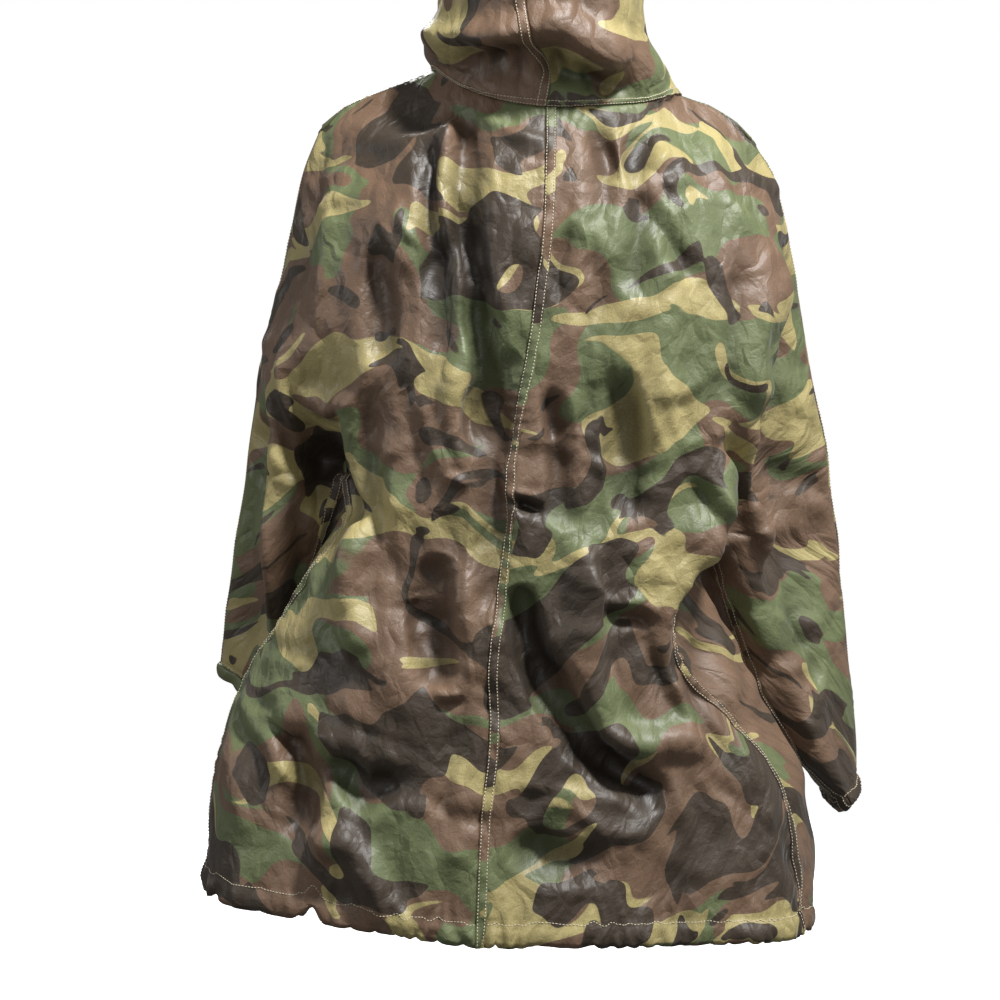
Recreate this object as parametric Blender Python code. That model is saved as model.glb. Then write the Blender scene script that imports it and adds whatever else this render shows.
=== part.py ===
"""Hooded rain parka, filled out as worn, with nobody inside.

Axes: +Z up, the fronts face -Y, the wearer's left is +X. The origin is the middle of the
neck, where the wearer's shoulders carry the parka. All tables are in millimetres.

The parka is cut in six cloth panels: a back and a front for each side, each with its half
of the sleeve cut in one (there is no armhole seam), and two hood halves. Every panel is a
wall of cloth through sections. A section crosses the panel from the centre seam to the
overarm seam, through the points that the tables name:

    centre  the centre seam (back) or the front edge
    fold    where the cloth turns under at the side of the body
    under   the bottom of that fold, which is the side and underarm seam further down
    lobe    the edge of the spare cloth that hangs from the upper arm
    tuck    where that spare cloth turns back behind its edge
    over    the shoulder and overarm seam

Each table row is a level, from the neck down. x is counted outwards from the middle.
"""

import math

import bmesh
import bpy
import numpy as np

MM = 0.001

# Driving sizes
CLOTH = 1.5  # wall of coated cloth, with its seam allowance
SEAM_GAP = 0.3  # between two panels along a seam
SKIN_GAP = 0.9  # between a panel and what is sewn on top of it
FLAP_PLACES = (0.0, 10.0, 20.0, 29.0)  # across half the storm flap, from the centre front
FLAP_CLOTH = 2.0
TAB_COLUMNS = (0.3, 1, 2, 3, 4, 5, 5.6)  # columns of the sleeve under the cuff tab, from the overarm
TAB_WIDTH = 14.0
TAB_ABOVE_EDGE = 1.0
TAB_CLOTH = 1.6

# Spans between the named points of a section, and between its levels
SPANS = {  # centre, three on the back or chest, fold, under; then under, lobe, tuck, over
    "back": ((5, 4, 4, 3, 3), (3, 3, 3)),
    "front": ((3, 3, 3, 3, 3), (3, 3, 3)),
}
UPPER_SPANS = 2
BODY_SPANS = 3
SLEEVE_SPANS = 2
HOOD_SPANS = 2

APEX = 7  # the level at which body and sleeve part under the arm
# Normal of the cloth there, longer than 1 so that the wall keeps its thickness
APEX_NORMAL = {"left": (0.4, 0.0, -2.2), "right": (-0.3, 0.5, -2.1)}

# Centre seams: x, y, z for each level. The back seam drifts to the left as the parka hangs.
CENTRE_BACK = [
    (-1, 86, -5), (0, 111, -60), (2, 124, -120), (9, 128, -185), (18, 127, -250),
    (29, 124, -305), (36, 122, -355), (39, 121, -400), (44, 120, -450), (50, 119, -505),
    (57, 119, -565), (56, 120, -635), (65, 123, -725), (70, 127, -843),
]
CENTRE_FRONT = [
    (0, -90, -52), (2, -104, -105), (4, -114, -155), (8, -118, -210), (12, -118, -265),
    (16, -116, -315), (19, -114, -360), (21, -112, -405), (23, -110, -455), (25, -109, -508),
    (27, -108, -568), (29, -107, -640), (31, -107, -728), (33, -108, -838),
]

# Neck ring from the centre back to the centre front, and the shoulder seam: x, y, z
NECK = {
    "left": [(45, 79, 4), (76, 56, 18), (112, 6, 47), (82, -46, 2), (42, -80, -40)],
    "right": [(56, 80, -2), (99, 56, 5), (144, 6, 20), (100, -46, -8), (46, -80, -42)],
}
SHOULDER = {
    "left": [(137, -6, 39), (160, -9, 31), (184, -11, 22), (208, -12, 11), (231, -13, -7)],
    "right": [(159, -6, 17), (173, -9, 13), (188, -11, 5), (203, -12, -5), (218, -13, -20)],
}

# Overarm seam below the shoulder, levels 1 to 12: x, y, z
OVERARM = {
    "left": [
        (251, -20, -56), (265, -29, -118), (280, -44, -183), (298, -60, -246),
        (309, -80, -304), (316, -90, -346), (321, -98, -385), (330, -108, -432),
        (337, -118, -476), (344, -130, -519), (350, -142, -560), (355, -152, -592),
    ],
    "right": [
        (241, -20, -64), (257, -29, -120), (271, -44, -186), (284, -60, -252),
        (297, -74, -313), (308, -86, -375), (318, -98, -436), (323, -110, -493),
        (332, -122, -550), (341, -136, -610), (348, -150, -667), (350, -166, -717),
    ],
}

# Side seam from the point under the arm to the hem, levels 7 to 13: x, y, z
SIDE_SEAM = {
    "left": [
        (207, -2, -372), (204, 20, -420), (238, 25, -466), (270, 5, -516),
        (320, -15, -602), (343, -20, -700), (353, -18, -803),
    ],
    "right": [
        (162, 12, -436), (130, 80, -502), (135, 78, -556), (184, 55, -612),
        (242, 33, -688), (264, 26, -768), (269, 20, -848),
    ],
}
# Underarm seam of the sleeve from the same point to the cuff, levels 7 to 12: x, y, z
UNDERARM_SEAM = {
    "left": [
        (207, -2, -372), (228, -20, -436), (246, -42, -492), (262, -66, -548),
        (264, -94, -602), (270, -106, -650),
    ],
    "right": [
        (162, 12, -436), (186, -18, -490), (204, -36, -545), (234, -52, -615),
        (268, -70, -667), (328, -98, -737),
    ],
}

# Body levels 1 to 13 of each panel: fold x, y and, above the parting, under x, y, z
BACK_BODY = {
    "left": [
        (160, 62, 194, 38, -58), (170, 86, 206, 60, -120), (180, 90, 218, 64, -184),
        (184, 90, 222, 66, -244), (194, 82, 220, 48, -290), (204, 62, 200, 14, -332),
        (206, 57, None, None, None), (197, 66, None, None, None), (202, 74, None, None, None),
        (234, 62, None, None, None), (290, 50, None, None, None), (319, 52, None, None, None),
        (328, 60, None, None, None),
    ],
    "right": [
        (156, 64, 188, 44, -66), (168, 88, 206, 64, -128), (170, 96, 212, 76, -196),
        (166, 98, 204, 84, -264), (168, 92, 194, 70, -326), (186, 70, 174, 18, -386),
        (178, 74, None, None, None), (138, 92, None, None, None), (114, 100, None, None, None),
        (152, 86, None, None, None), (216, 66, None, None, None), (238, 66, None, None, None),
        (244, 70, None, None, None),
    ],
}
FRONT_BODY = {
    "left": [
        (158, -64, 190, -54, -66), (166, -82, 200, -72, -126), (172, -88, 206, -80, -190),
        (174, -84, 206, -68, -250), (176, -76, 203, -44, -296), (182, -66, 202, -22, -336),
        (186, -42, None, None, None), (210, -22, None, None, None), (242, -14, None, None, None),
        (260, -36, None, None, None), (296, -58, None, None, None), (318, -64, None, None, None),
        (326, -66, None, None, None),
    ],
    "right": [
        (150, -64, 182, -54, -74), (158, -82, 192, -70, -134), (160, -86, 192, -74, -200),
        (160, -84, 188, -66, -268), (156, -78, 182, -50, -330), (150, -70, 167, -22, -386),
        (142, -50, None, None, None), (166, -8, None, None, None), (198, -16, None, None, None),
        (229, -20, None, None, None), (268, -32, None, None, None), (288, -38, None, None, None),
        (281, -42, None, None, None),
    ],
}
# Sleeve levels 1 to 12 of each panel: lobe x, y and tuck x, y
BACK_SLEEVE = {
    "left": [
        (212, 24, 234, 6), (234, 34, 254, 2), (248, 34, 268, -8), (270, 26, 288, -20),
        (286, 14, 290, -28), (286, 8, 270, -38), (288, 6, 268, -44), (293, 6, 276, -44),
        (290, -6, 284, -54), (288, -38, 300, -76), (294, -78, 318, -98), (298, -94, 324, -114),
    ],
    "right": [
        (208, 28, 226, 8), (238, 38, 247, 6), (248, 40, 240, -2), (240, 50, 224, 6),
        (216, 52, 202, 8), (212, 32, 198, -18), (226, 14, 206, -36), (226, -8, 250, -44),
        (240, -24, 280, -56), (268, -44, 304, -72), (296, -60, 322, -94), (336, -90, 344, -122),
    ],
}
FRONT_SLEEVE = {
    "left": [
        (210, -58, 231, -52), (226, -72, 249, -64), (236, -82, 262, -76), (238, -90, 276, -90),
        (236, -88, 284, -104), (230, -86, 290, -114), (220, -92, 294, -124), (212, -98, 298, -136),
        (232, -106, 304, -148), (256, -124, 312, -160), (266, -138, 318, -172),
        (280, -148, 326, -180),
    ],
    "right": [
        (204, -58, 222, -52), (218, -70, 239, -62), (226, -76, 252, -72), (222, -80, 256, -84),
        (212, -82, 262, -98), (196, -86, 268, -112), (178, -94, 274, -124), (168, -102, 282, -136),
        (194, -100, 294, -150), (244, -116, 308, -164), (282, -132, 320, -180),
        (318, -140, 332, -192),
    ],
}

# Hood levels 1 to 6, from the neck seam up: back y, z; half width; side y, z; face edge x, y, z
HOOD = {
    "left": [
        (90, 26, 120, 0, 62, 30, -114, -16), (119, 62, 113, -4, 92, 62, -132, 42),
        (127, 122, 106, -8, 142, 84, -139, 106), (125, 184, 101, -10, 196, 88, -141, 172),
        (112, 240, 89, -12, 250, 74, -139, 232), (94, 280, 60, -16, 298, 44, -134, 274),
    ],
    "right": [
        (90, 26, 131, 2, 44, 30, -114, -16), (119, 62, 107, -4, 84, 62, -132, 42),
        (127, 122, 101, -8, 140, 84, -139, 106), (125, 184, 98, -10, 196, 88, -141, 172),
        (112, 240, 88, -12, 250, 74, -139, 232), (94, 280, 60, -16, 298, 44, -134, 274),
    ],
}
# Centre seam of the hood over the crown, from the back to the forehead: y, z
CROWN = [(82, 300), (54, 322), (20, 334), (-14, 338), (-52, 334), (-92, 318), (-130, 292)]
# How far the hood's centre seam lies from the middle, for levels 0 to 7
HOOD_SEAM_X = (-1, -5, 14, 22, 18, 12, 6, 4)

# Main folds. Each runs through three points x, z on the face it is seen on; then its half
# width, and its height, which is negative for a trough.
FOLDS = {
    ("back", "body"): [
        (80, -10, 80, -150, 66, -330, 30, -9), (110, -60, 107, -150, 104, -235, 26, -5),
        (95, -30, 93, -140, 86, -290, 24, 4), (174, -160, 172, -200, 168, -245, 26, -7),
        (-55, -25, -57, -60, -60, -100, 24, -5), (-92, -25, -93, -45, -94, -65, 22, -4),
        (44, -270, 50, -380, 56, -490, 26, -6), (-75, -290, -82, -340, -88, -400, 28, -8),
        (-8, -310, -14, -350, -20, -412, 22, -5), (110, -480, 113, -520, 112, -565, 30, -11),
        (29, -512, -39, -643, -104, -692, 28, -9), (-36, -460, -42, -560, -70, -641, 26, 7),
        (-70, -641, -110, -645, -145, -641, 26, 6), (250, -645, 248, -690, 244, -739, 28, -8),
        (211, -669, 180, -690, 152, -684, 28, -9), (190, -430, 198, -500, 176, -550, 28, 7),
        (20, -747, -10, -755, -44, -759, 26, -6), (244, -745, 200, -742, 146, -815, 26, 6),
        (310, -606, 285, -618, 262, -640, 24, -8), (-130, -180, -118, -260, -120, -330, 28, 5),
    ],
    ("front", "body"): [
        (70, -120, 74, -260, 70, -380, 30, -7), (-80, -140, -86, -280, -76, -390, 30, -7),
        (130, -430, 110, -560, 90, -640, 32, -8), (-60, -480, -110, -600, -150, -700, 32, -8),
        (150, -640, 160, -720, 155, -800, 30, 7), (-170, -620, -165, -720, -170, -810, 30, -6),
        (60, -300, 100, -420, 150, -470, 30, 6), (-120, -400, -90, -440, -60, -520, 28, 6),
    ],
    ("back", "sleeve"): [
        (-300, -400, -290, -480, -262, -560, 26, -5), (-322, -560, -302, -600, -284, -640, 24, 5),
        (300, -330, 316, -430, 322, -540, 24, -4),
    ],
    ("front", "sleeve"): [
        (290, -250, 286, -360, 300, -470, 28, -6), (-270, -300, -262, -420, -280, -540, 28, -6),
    ],
}

MATERIALS = {  # colour, roughness
    "camouflage_cloth": ((0.17, 0.15, 0.09, 1.0), 0.45),
    "green_cloth": ((0.12, 0.13, 0.06, 1.0), 0.5),
}


def clear_scene():
    for obj in list(bpy.data.objects):
        bpy.data.objects.remove(obj, do_unlink=True)


def material(name):
    colour, roughness = MATERIALS[name]
    made = bpy.data.materials.get(name) or bpy.data.materials.new(name)
    made.use_nodes = True
    made.diffuse_color = colour
    shader = made.node_tree.nodes["Principled BSDF"]
    shader.inputs["Base Color"].default_value = colour
    shader.inputs["Roughness"].default_value = roughness
    return made


def smooth_curve(points, spans, before=None, after=None):
    """Points on one smooth line through the given points, with a number of spans between each
    two. before and after are the points that the line would go on to at its ends."""
    points = np.asarray(points, float)
    before = 2 * points[0] - points[1] if before is None else np.asarray(before, float)
    after = 2 * points[-1] - points[-2] if after is None else np.asarray(after, float)
    line = np.vstack([before[None], points, after[None]])
    spacing = np.sqrt(np.maximum(np.linalg.norm(np.diff(line, axis=0), axis=-1), 1e-6))
    made = []
    for k, count in enumerate(spans):
        p0, p1, p2, p3 = line[k : k + 4]
        d0, d1, d2 = spacing[k : k + 3]
        slope1 = (p1 - p0) / d0 - (p2 - p0) / (d0 + d1) + (p2 - p1) / d1
        slope2 = (p2 - p1) / d1 - (p3 - p1) / (d1 + d2) + (p3 - p2) / d2
        for step in range(count):
            t = step / count
            made.append(
                (2 * t**3 - 3 * t**2 + 1) * p1
                + (t**3 - 2 * t**2 + t) * slope1 * d1
                + (3 * t**2 - 2 * t**3) * p2
                + (t**3 - t**2) * slope2 * d1
            )
    made.append(line[len(spans) + 1])
    return np.array(made)


def outwards(points, side):
    """The tables count x outwards from the middle, so the right side is turned over."""
    points = np.array(points, float)
    if side == "right":
        points[..., 0] *= -1
    return points


def mixed(a, b, share):
    return np.asarray(a) * (1 - share) + np.asarray(b) * share


def panel_levels(face, side):
    """Two lists of sections, each a list of named points: those of the body, with 6 points,
    and those of the sleeve, with 4. They share the point under the arm down to the parting."""
    centre = CENTRE_BACK if face == "back" else CENTRE_FRONT
    body_rows = (BACK_BODY if face == "back" else FRONT_BODY)[side]
    sleeve_rows = (BACK_SLEEVE if face == "back" else FRONT_SLEEVE)[side]
    neck = outwards(NECK[side], side)
    shoulder = outwards(SHOULDER[side], side)
    neck_points = neck[:3] if face == "back" else neck[:1:-1]
    start = np.array(centre[0], float)
    body = [[start, *neck_points, shoulder[0], shoulder[1]]]
    sleeve = [list(shoulder[1:])]
    for level, row in enumerate(body_rows, start=1):
        middle = np.array(centre[level], float)
        if level >= APEX:
            under = outwards(SIDE_SEAM[side][level - APEX], side)
        else:
            under = outwards(row[2:5], side)
        fold_z = mixed(middle[2], under[2], 0.82)
        fold = outwards((row[0], row[1], fold_z), side)
        chest = []
        for share in (0.25, 0.5, 0.75):
            point = mixed(middle, fold, share)
            point[1] = middle[1] + (fold[1] - middle[1]) * share**2.3
            chest.append(point)
        body.append([middle, *chest, fold, under])
    for level, row in enumerate(sleeve_rows, start=1):
        over = outwards(OVERARM[side][level - 1], side)
        if level >= APEX:
            under = outwards(UNDERARM_SEAM[side][level - APEX], side)
        else:
            under = body[level][5]
        lobe = outwards((row[0], row[1], mixed(under[2], over[2], 0.34)), side)
        tuck = outwards((row[2], row[3], mixed(under[2], over[2], 0.67)), side)
        sleeve.append([under, lobe, tuck, over])
    return body, sleeve


def between_levels(levels, first, last, spans, seam_column=None):
    """Sections from one level to another. The seam column has its own line from the parting
    on, because body and sleeve go their own ways there."""
    levels = np.array(levels, float)
    columns = []
    for column in range(levels.shape[1]):
        line = levels[:, column]
        own = column == seam_column
        before = None if first == 0 or (own and first == APEX) else line[first - 1]
        after = None if last + 1 == len(line) or (own and last == APEX) else line[last + 1]
        columns.append(smooth_curve(line[first : last + 1], [spans] * (last - first), before, after))
    return np.stack(columns, axis=1)


class Panel:
    """A sheet of cloth: points, and the quads between them. where holds each point's place
    on the panel: its place among the named points, and its level."""

    def __init__(self, name, face, side):
        self.name = name
        self.face = face
        self.side = side
        self.rows = {}
        self.points = []
        self.where = []
        self.quads = []
        self.known = {}

    def grid(self, tag, places, across, down, shared_row=None):
        """Adds a grid. Its first row may lie on part of a row that is already there."""
        rows, columns = places.shape[:2]
        ids = np.empty((rows, columns), int)
        for r in range(rows):
            for c in range(columns):
                key = (tag, r, c)
                if r == 0 and shared_row:
                    key = (shared_row[0], shared_row[1], c + shared_row[2])
                if key not in self.known:
                    self.known[key] = len(self.points)
                    self.points.append(places[r, c])
                    self.where.append((across[c], down[r]))
                ids[r, c] = self.known[key]
        self.rows[tag] = ids
        for r in range(rows - 1):
            for c in range(columns - 1):
                self.quads.append((ids[r, c], ids[r + 1, c], ids[r + 1, c + 1], ids[r, c + 1]))

    def turn_over(self):
        self.quads = [quad[::-1] for quad in self.quads]


def steps(first, last, spans):
    return np.linspace(first, last, (last - first) * spans + 1)


def named_places(spans, first=0):
    """Each column's place among the named points, which are counted from the centre seam."""
    places = [first + k + step / count for k, count in enumerate(spans) for step in range(count)]
    return np.array(places + [first + len(spans)])


def step_up(value, low, high):
    share = np.clip((value - low) / (high - low), 0, 1)
    return share * share * (3 - 2 * share)


def distance_to(path, x, z):
    """The distance of each x, z from a path of three points."""
    nearest = np.full(len(x), 1e9)
    for k in (0, 2):
        start, run = np.array(path[k : k + 2]), np.subtract(path[k + 2 : k + 4], path[k : k + 2])
        share = np.clip(((x - start[0]) * run[0] + (z - start[1]) * run[1]) / run.dot(run), 0, 1)
        off = np.hypot(x - start[0] - share * run[0], z - start[1] - share * run[1])
        nearest = np.minimum(nearest, off)
    return nearest


def fold_body(panel):
    """Lays the main folds into a panel. They die out before the seams to other faces."""
    points = np.array(panel.points)
    across, level = np.array(panel.where).T
    zones = {
        "body": (1 - step_up(across, 3.6, 4.6)) * step_up(level, 0, 0.8),
        "sleeve": step_up(across, 5.3, 6.0) * (1 - step_up(across, 7.0, 8.0)) * step_up(level, 1, 2),
    }
    height = np.zeros(len(points))
    for zone, share in zones.items():
        for row in FOLDS[panel.face, zone]:
            off = distance_to(row[:6], points[:, 0], points[:, 2]) / row[6]
            height += share * row[7] * (1 - np.clip(off, 0, 1) ** 2) ** 2
    forth = 1 if panel.face == "back" else -1
    lean = np.stack([points[:, 0] * 0.0012, np.full(len(points), forth), np.zeros(len(points))], 1)
    panel.points = list(points + lean * height[:, None])


def neck_ring(side):
    """The neck seam of one side, from the centre back to the centre front."""
    other = "right" if side == "left" else "left"
    there = outwards(NECK[other], other)
    ends = np.array([CENTRE_BACK[0], CENTRE_FRONT[0]], float)
    points = [ends[0], *outwards(NECK[side], side), ends[1]]
    spans = SPANS["back"][0][:3] + SPANS["front"][0][2::-1]
    return smooth_curve(points, spans, there[0], there[-1])


def top_row(face, side):
    """The upper edge of a panel: its part of the neck ring, then the shoulder seam."""
    ring = neck_ring(side)
    turn = sum(SPANS["back"][0][:3])
    neck = ring[: turn + 1] if face == "back" else ring[: turn - 1 : -1]
    points = [neck[-1], *outwards(SHOULDER[side], side)]
    return np.vstack([neck[:-1], smooth_curve(points, SPANS[face][0][3:] + SPANS[face][1])])


def body_panel(face, side, named):
    """One sheet above the parting, and a body strip and a sleeve strip below it."""
    other_side = "right" if side == "left" else "left"
    other_face = "front" if face == "back" else "back"
    body, sleeve = named[face, side]
    body_spans, sleeve_spans = SPANS[face]
    body_end, sleeve_end = len(body) - 1, len(sleeve) - 1

    upper_body = between_levels(body, 0, APEX, UPPER_SPANS, 5)
    upper_sleeve = between_levels(sleeve, 0, APEX, UPPER_SPANS, 0)
    past_centre = between_levels(named[face, other_side][0], 0, APEX, UPPER_SPANS, 5)[:, 1]
    past_over = between_levels(named[other_face, side][1], 0, APEX, UPPER_SPANS, 0)[:, 2]
    upper = [top_row(face, side)]
    for r in range(1, len(upper_body)):
        points = np.vstack([upper_body[r], upper_sleeve[r][1:]])
        upper.append(smooth_curve(points, body_spans + sleeve_spans, past_centre[r], past_over[r]))
    upper = np.array(upper)

    strip = []
    low_body = between_levels(body, APEX, body_end, BODY_SPANS, 5)
    past_centre = between_levels(named[face, other_side][0], APEX, body_end, BODY_SPANS, 5)[:, 1]
    past_seam = between_levels(named[other_face, side][0], APEX, body_end, BODY_SPANS, 5)[:, 4]
    for points, before, after in zip(low_body, past_centre, past_seam):
        strip.append(smooth_curve(points, body_spans, before, after))
    tube = []
    low_sleeve = between_levels(sleeve, APEX, sleeve_end, SLEEVE_SPANS, 0)
    round_arm = between_levels(named[other_face, side][1], APEX, sleeve_end, SLEEVE_SPANS, 0)
    for points, past in zip(low_sleeve, round_arm):
        tube.append(smooth_curve(points, sleeve_spans, past[1], past[2]))
    strip, tube = np.array(strip), np.array(tube)
    middle, edge = sum(body_spans), sum(body_spans) + sum(sleeve_spans)
    strip[0] = upper[-1][: middle + 1]
    tube[0] = upper[-1][middle:]

    panel = Panel(f"{face}_{side}", face, side)
    across = named_places(body_spans + sleeve_spans)
    last = len(upper) - 1
    panel.grid("upper", upper, across, steps(0, APEX, UPPER_SPANS))
    panel.grid("strip", strip, across[: middle + 1], steps(APEX, body_end, BODY_SPANS),
               ("upper", last, 0))
    panel.grid("tube", tube, across[middle:], steps(APEX, sleeve_end, SLEEVE_SPANS),
               ("upper", last, middle))
    panel.apex = panel.known["upper", last, middle]
    fold_body(panel)
    if (face == "back") == (side == "left"):
        panel.turn_over()
    return panel


def hood_sections(side):
    """Named sections of half the hood, from the centre seam round the side to the face edge."""
    sections = []
    for k, row in enumerate(HOOD[side], start=1):
        back_y, back_z, width, side_y, side_z, edge_x, edge_y, edge_z = row
        sections.append([
            (HOOD_SEAM_X[k], back_y, back_z),
            outwards((width * 0.56, mixed(side_y, back_y, 0.88), mixed(back_z, side_z, 0.3)), side),
            outwards((width * 0.91, mixed(side_y, back_y, 0.5), mixed(back_z, side_z, 0.65)), side),
            outwards((width, side_y, side_z), side),
            outwards((mixed(width, edge_x, 0.12), mixed(side_y, edge_y, 0.42),
                      mixed(side_z, edge_z, 0.36)), side),
            outwards((mixed(width, edge_x, 0.5), mixed(side_y, edge_y, 0.78),
                      mixed(side_z, edge_z, 0.7)), side),
            outwards((edge_x, edge_y, edge_z), side),
        ])
    return sections


def hood_panel(side):
    ring_points = [CENTRE_BACK[0], *outwards(NECK[side], side), CENTRE_FRONT[0]]
    seam_x = HOOD_SEAM_X[-1]
    crown = [(seam_x, y, z) for y, z in CROWN]
    levels = np.array([ring_points, *hood_sections(side), crown], float)
    columns = []
    for column in range(levels.shape[1]):
        line = levels[:, column]
        after = mirrored(line[-2], seam_x)
        columns.append(smooth_curve(line, [HOOD_SPANS] * (len(line) - 1), None, after))
    rows = np.stack(columns, axis=1)
    spans = SPANS["back"][0][:3] + SPANS["front"][0][2::-1]
    made = [neck_ring(side)]
    for row in rows[1:]:
        made.append(smooth_curve(row, spans, mirrored(row[1], row[0][0]), None))
    panel = Panel(f"hood_{side}", "hood", side)
    panel.grid("hood", np.array(made), named_places(spans), steps(0, len(levels) - 1, HOOD_SPANS))
    if side == "right":
        panel.turn_over()
    return panel


def mirrored(point, middle_x):
    return np.array((2 * middle_x - point[0], point[1], point[2]))


def shared_normals(panels):
    """Normals of all panels as one skin, so that neighbours agree along their seams."""
    places = np.vstack([np.array(p.points) for p in panels])
    _, merged = np.unique(np.round(places, 3), axis=0, return_inverse=True)
    merged = merged.reshape(-1)
    total = np.zeros((merged.max() + 1, 3))
    start = 0
    for panel in panels:
        points = np.array(panel.points)
        for quad in panel.quads:
            a, b, c, d = points[list(quad)]
            normal = np.cross(c - a, d - b)
            for corner in quad:
                total[merged[start + corner]] += normal
        start += len(points)
    total /= np.maximum(np.linalg.norm(total, axis=1, keepdims=True), 1e-9)
    start = 0
    for panel in panels:
        count = len(panel.points)
        panel.normals = total[merged[start : start + count]]
        if hasattr(panel, "apex"):
            panel.normals[panel.apex] = outwards(APEX_NORMAL[panel.side], panel.side)
        start += count


def boundary_of(quads):
    """The sheet's outer edges, in the direction of the quads that hold them."""
    edges = {}
    for quad in quads:
        for k in range(4):
            edges[quad[k], quad[(k + 1) % 4]] = True
    return [e for e in edges if (e[1], e[0]) not in edges]


def triangles_of(quads, points):
    """Each quad is parted along its shorter diagonal, the same way on both faces of the cloth."""
    made = []
    for a, b, c, d in quads:
        if np.linalg.norm(points[a] - points[c]) <= np.linalg.norm(points[b] - points[d]):
            made += [(a, b, c), (a, c, d)]
        else:
            made += [(a, b, d), (b, c, d)]
    return made


def rim_faces(edges, points, inner):
    """The edge of the cloth. Neighbours along a seam part it the same way, so that they stay
    clear of each other where the seam twists."""
    count = len(points)
    for a, b in edges:
        across = np.linalg.norm(points[a] - inner[b]), np.linalg.norm(points[b] - inner[a])
        if across[0] <= across[1]:
            yield from ((b, a, b + count), (b + count, a, a + count))
        else:
            yield from ((b, a, a + count), (b + count, b, a + count))


def wall(name, points, normals, quads, thickness, cloth, lift=0.0, gap=SEAM_GAP):
    """A closed wall of cloth. Its edges are drawn in by half the seam gap."""
    points = np.array(points, float)
    normals = np.array(normals, float)
    rim = list(rim_faces(boundary_of(quads), points, points - normals * thickness))
    inward = np.zeros_like(points)
    for quad in quads:
        middle = points[list(quad)].mean(axis=0)
        for corner in quad:
            step = middle - points[corner]
            step -= normals[corner] * step.dot(normals[corner])
            inward[corner] += step / max(np.linalg.norm(step), 1e-9)
    for v in sorted({v for face in rim for v in face if v < len(points)}):
        points[v] += inward[v] / max(np.linalg.norm(inward[v]), 1e-9) * gap * 0.62
    outer = points + normals * lift
    inner = outer - normals * thickness
    count = len(points)
    bm = bmesh.new()
    verts = [bm.verts.new(p * MM) for p in np.vstack([outer, inner])]
    for a, b, c in triangles_of(quads, points):
        bm.faces.new((verts[a], verts[b], verts[c]))
        bm.faces.new((verts[c + count], verts[b + count], verts[a + count]))
    for face in rim:
        bm.faces.new([verts[v] for v in face])
    mesh = bpy.data.meshes.new(name)
    bm.to_mesh(mesh)
    bm.free()
    mesh.shade_smooth()
    mesh.set_sharp_from_angle(angle=math.radians(60))
    obj = bpy.data.objects.new(name, mesh)
    bpy.context.scene.collection.objects.link(obj)
    mesh.materials.append(material(cloth))
    return obj


def along(panel, ids, distances):
    """Points and normals at distances along a row of a panel, from its first point."""
    points, normals = np.array(panel.points)[ids], panel.normals[ids]
    length = np.concatenate([[0], np.cumsum(np.linalg.norm(np.diff(points, axis=0), axis=1))])
    place = [np.interp(distances, length, points[:, k]) for k in range(3)]
    normal = [np.interp(distances, length, normals[:, k]) for k in range(3)]
    return np.array(place).T, np.array(normal).T


def grid_quads(rows, columns):
    ids = np.arange(rows * columns).reshape(rows, columns)
    return [(ids[r, c], ids[r + 1, c], ids[r + 1, c + 1], ids[r, c + 1])
            for r in range(rows - 1) for c in range(columns - 1)]


def sewn_on(name, places, normals, thickness, cloth, turn_over):
    """A flat piece that lies on a panel, made from the panel's points and moved out."""
    rows, columns = places.shape[:2]
    quads = grid_quads(rows, columns)
    if turn_over:
        quads = [quad[::-1] for quad in quads]
    normals = normals / np.linalg.norm(normals, axis=2, keepdims=True)
    return wall(name, places.reshape(-1, 3), normals.reshape(-1, 3), quads, thickness, cloth,
                lift=SKIN_GAP + thickness)


def front_flap(left, right):
    """The storm flap over the closure, which lies on both fronts from the neck to the hem."""
    places, normals = [], []
    for tag in ("upper", "strip"):
        for r in range(1, len(left.rows[tag])):
            place_left, normal_left = along(left, left.rows[tag][r], FLAP_PLACES)
            place_right, normal_right = along(right, right.rows[tag][r], FLAP_PLACES[1:])
            places.append(np.vstack([place_right[::-1], place_left]))
            normals.append(np.vstack([normal_right[::-1], normal_left]))
    return sewn_on("front_flap", np.array(places), np.array(normals), FLAP_CLOTH,
                   "camouflage_cloth", False)


def cuff_tab(panel):
    """The adjusting tab, which lies along the end of the sleeve from the overarm seam."""
    places, normals = [], []
    ends = []
    for row in panel.rows["tube"][:-3:-1]:
        ids = row[::-1]
        columns = np.arange(len(ids))
        points, edge_normals = np.array(panel.points)[ids], panel.normals[ids]
        ends.append([
            np.array([np.interp(TAB_COLUMNS, columns, rows[:, k]) for k in range(3)]).T
            for rows in (points, edge_normals)
        ])
    depth = np.linalg.norm(ends[1][0] - ends[0][0], axis=1).mean()
    for height in (TAB_ABOVE_EDGE, TAB_ABOVE_EDGE + TAB_WIDTH / 2, TAB_ABOVE_EDGE + TAB_WIDTH):
        share = height / depth
        places.append(mixed(ends[0][0], ends[1][0], share))
        normals.append(mixed(ends[0][1], ends[1][1], share))
    turn_over = (panel.side == "left") == (panel.face == "back")
    return sewn_on(f"cuff_tab_{panel.side}", np.array(places), np.array(normals), TAB_CLOTH,
                   "green_cloth", turn_over)


def main():
    clear_scene()
    named = {(face, side): panel_levels(face, side) for face in SPANS for side in NECK}
    panels = [body_panel(face, side, named) for face, side in named]
    panels += [hood_panel(side) for side in NECK]
    shared_normals(panels)
    for panel in panels:
        wall(panel.name, panel.points, panel.normals, panel.quads, CLOTH, "camouflage_cloth")
    by_name = {panel.name: panel for panel in panels}
    front_flap(by_name["front_left"], by_name["front_right"])
    cuff_tab(by_name["back_left"])
    cuff_tab(by_name["front_right"])


main()
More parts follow.
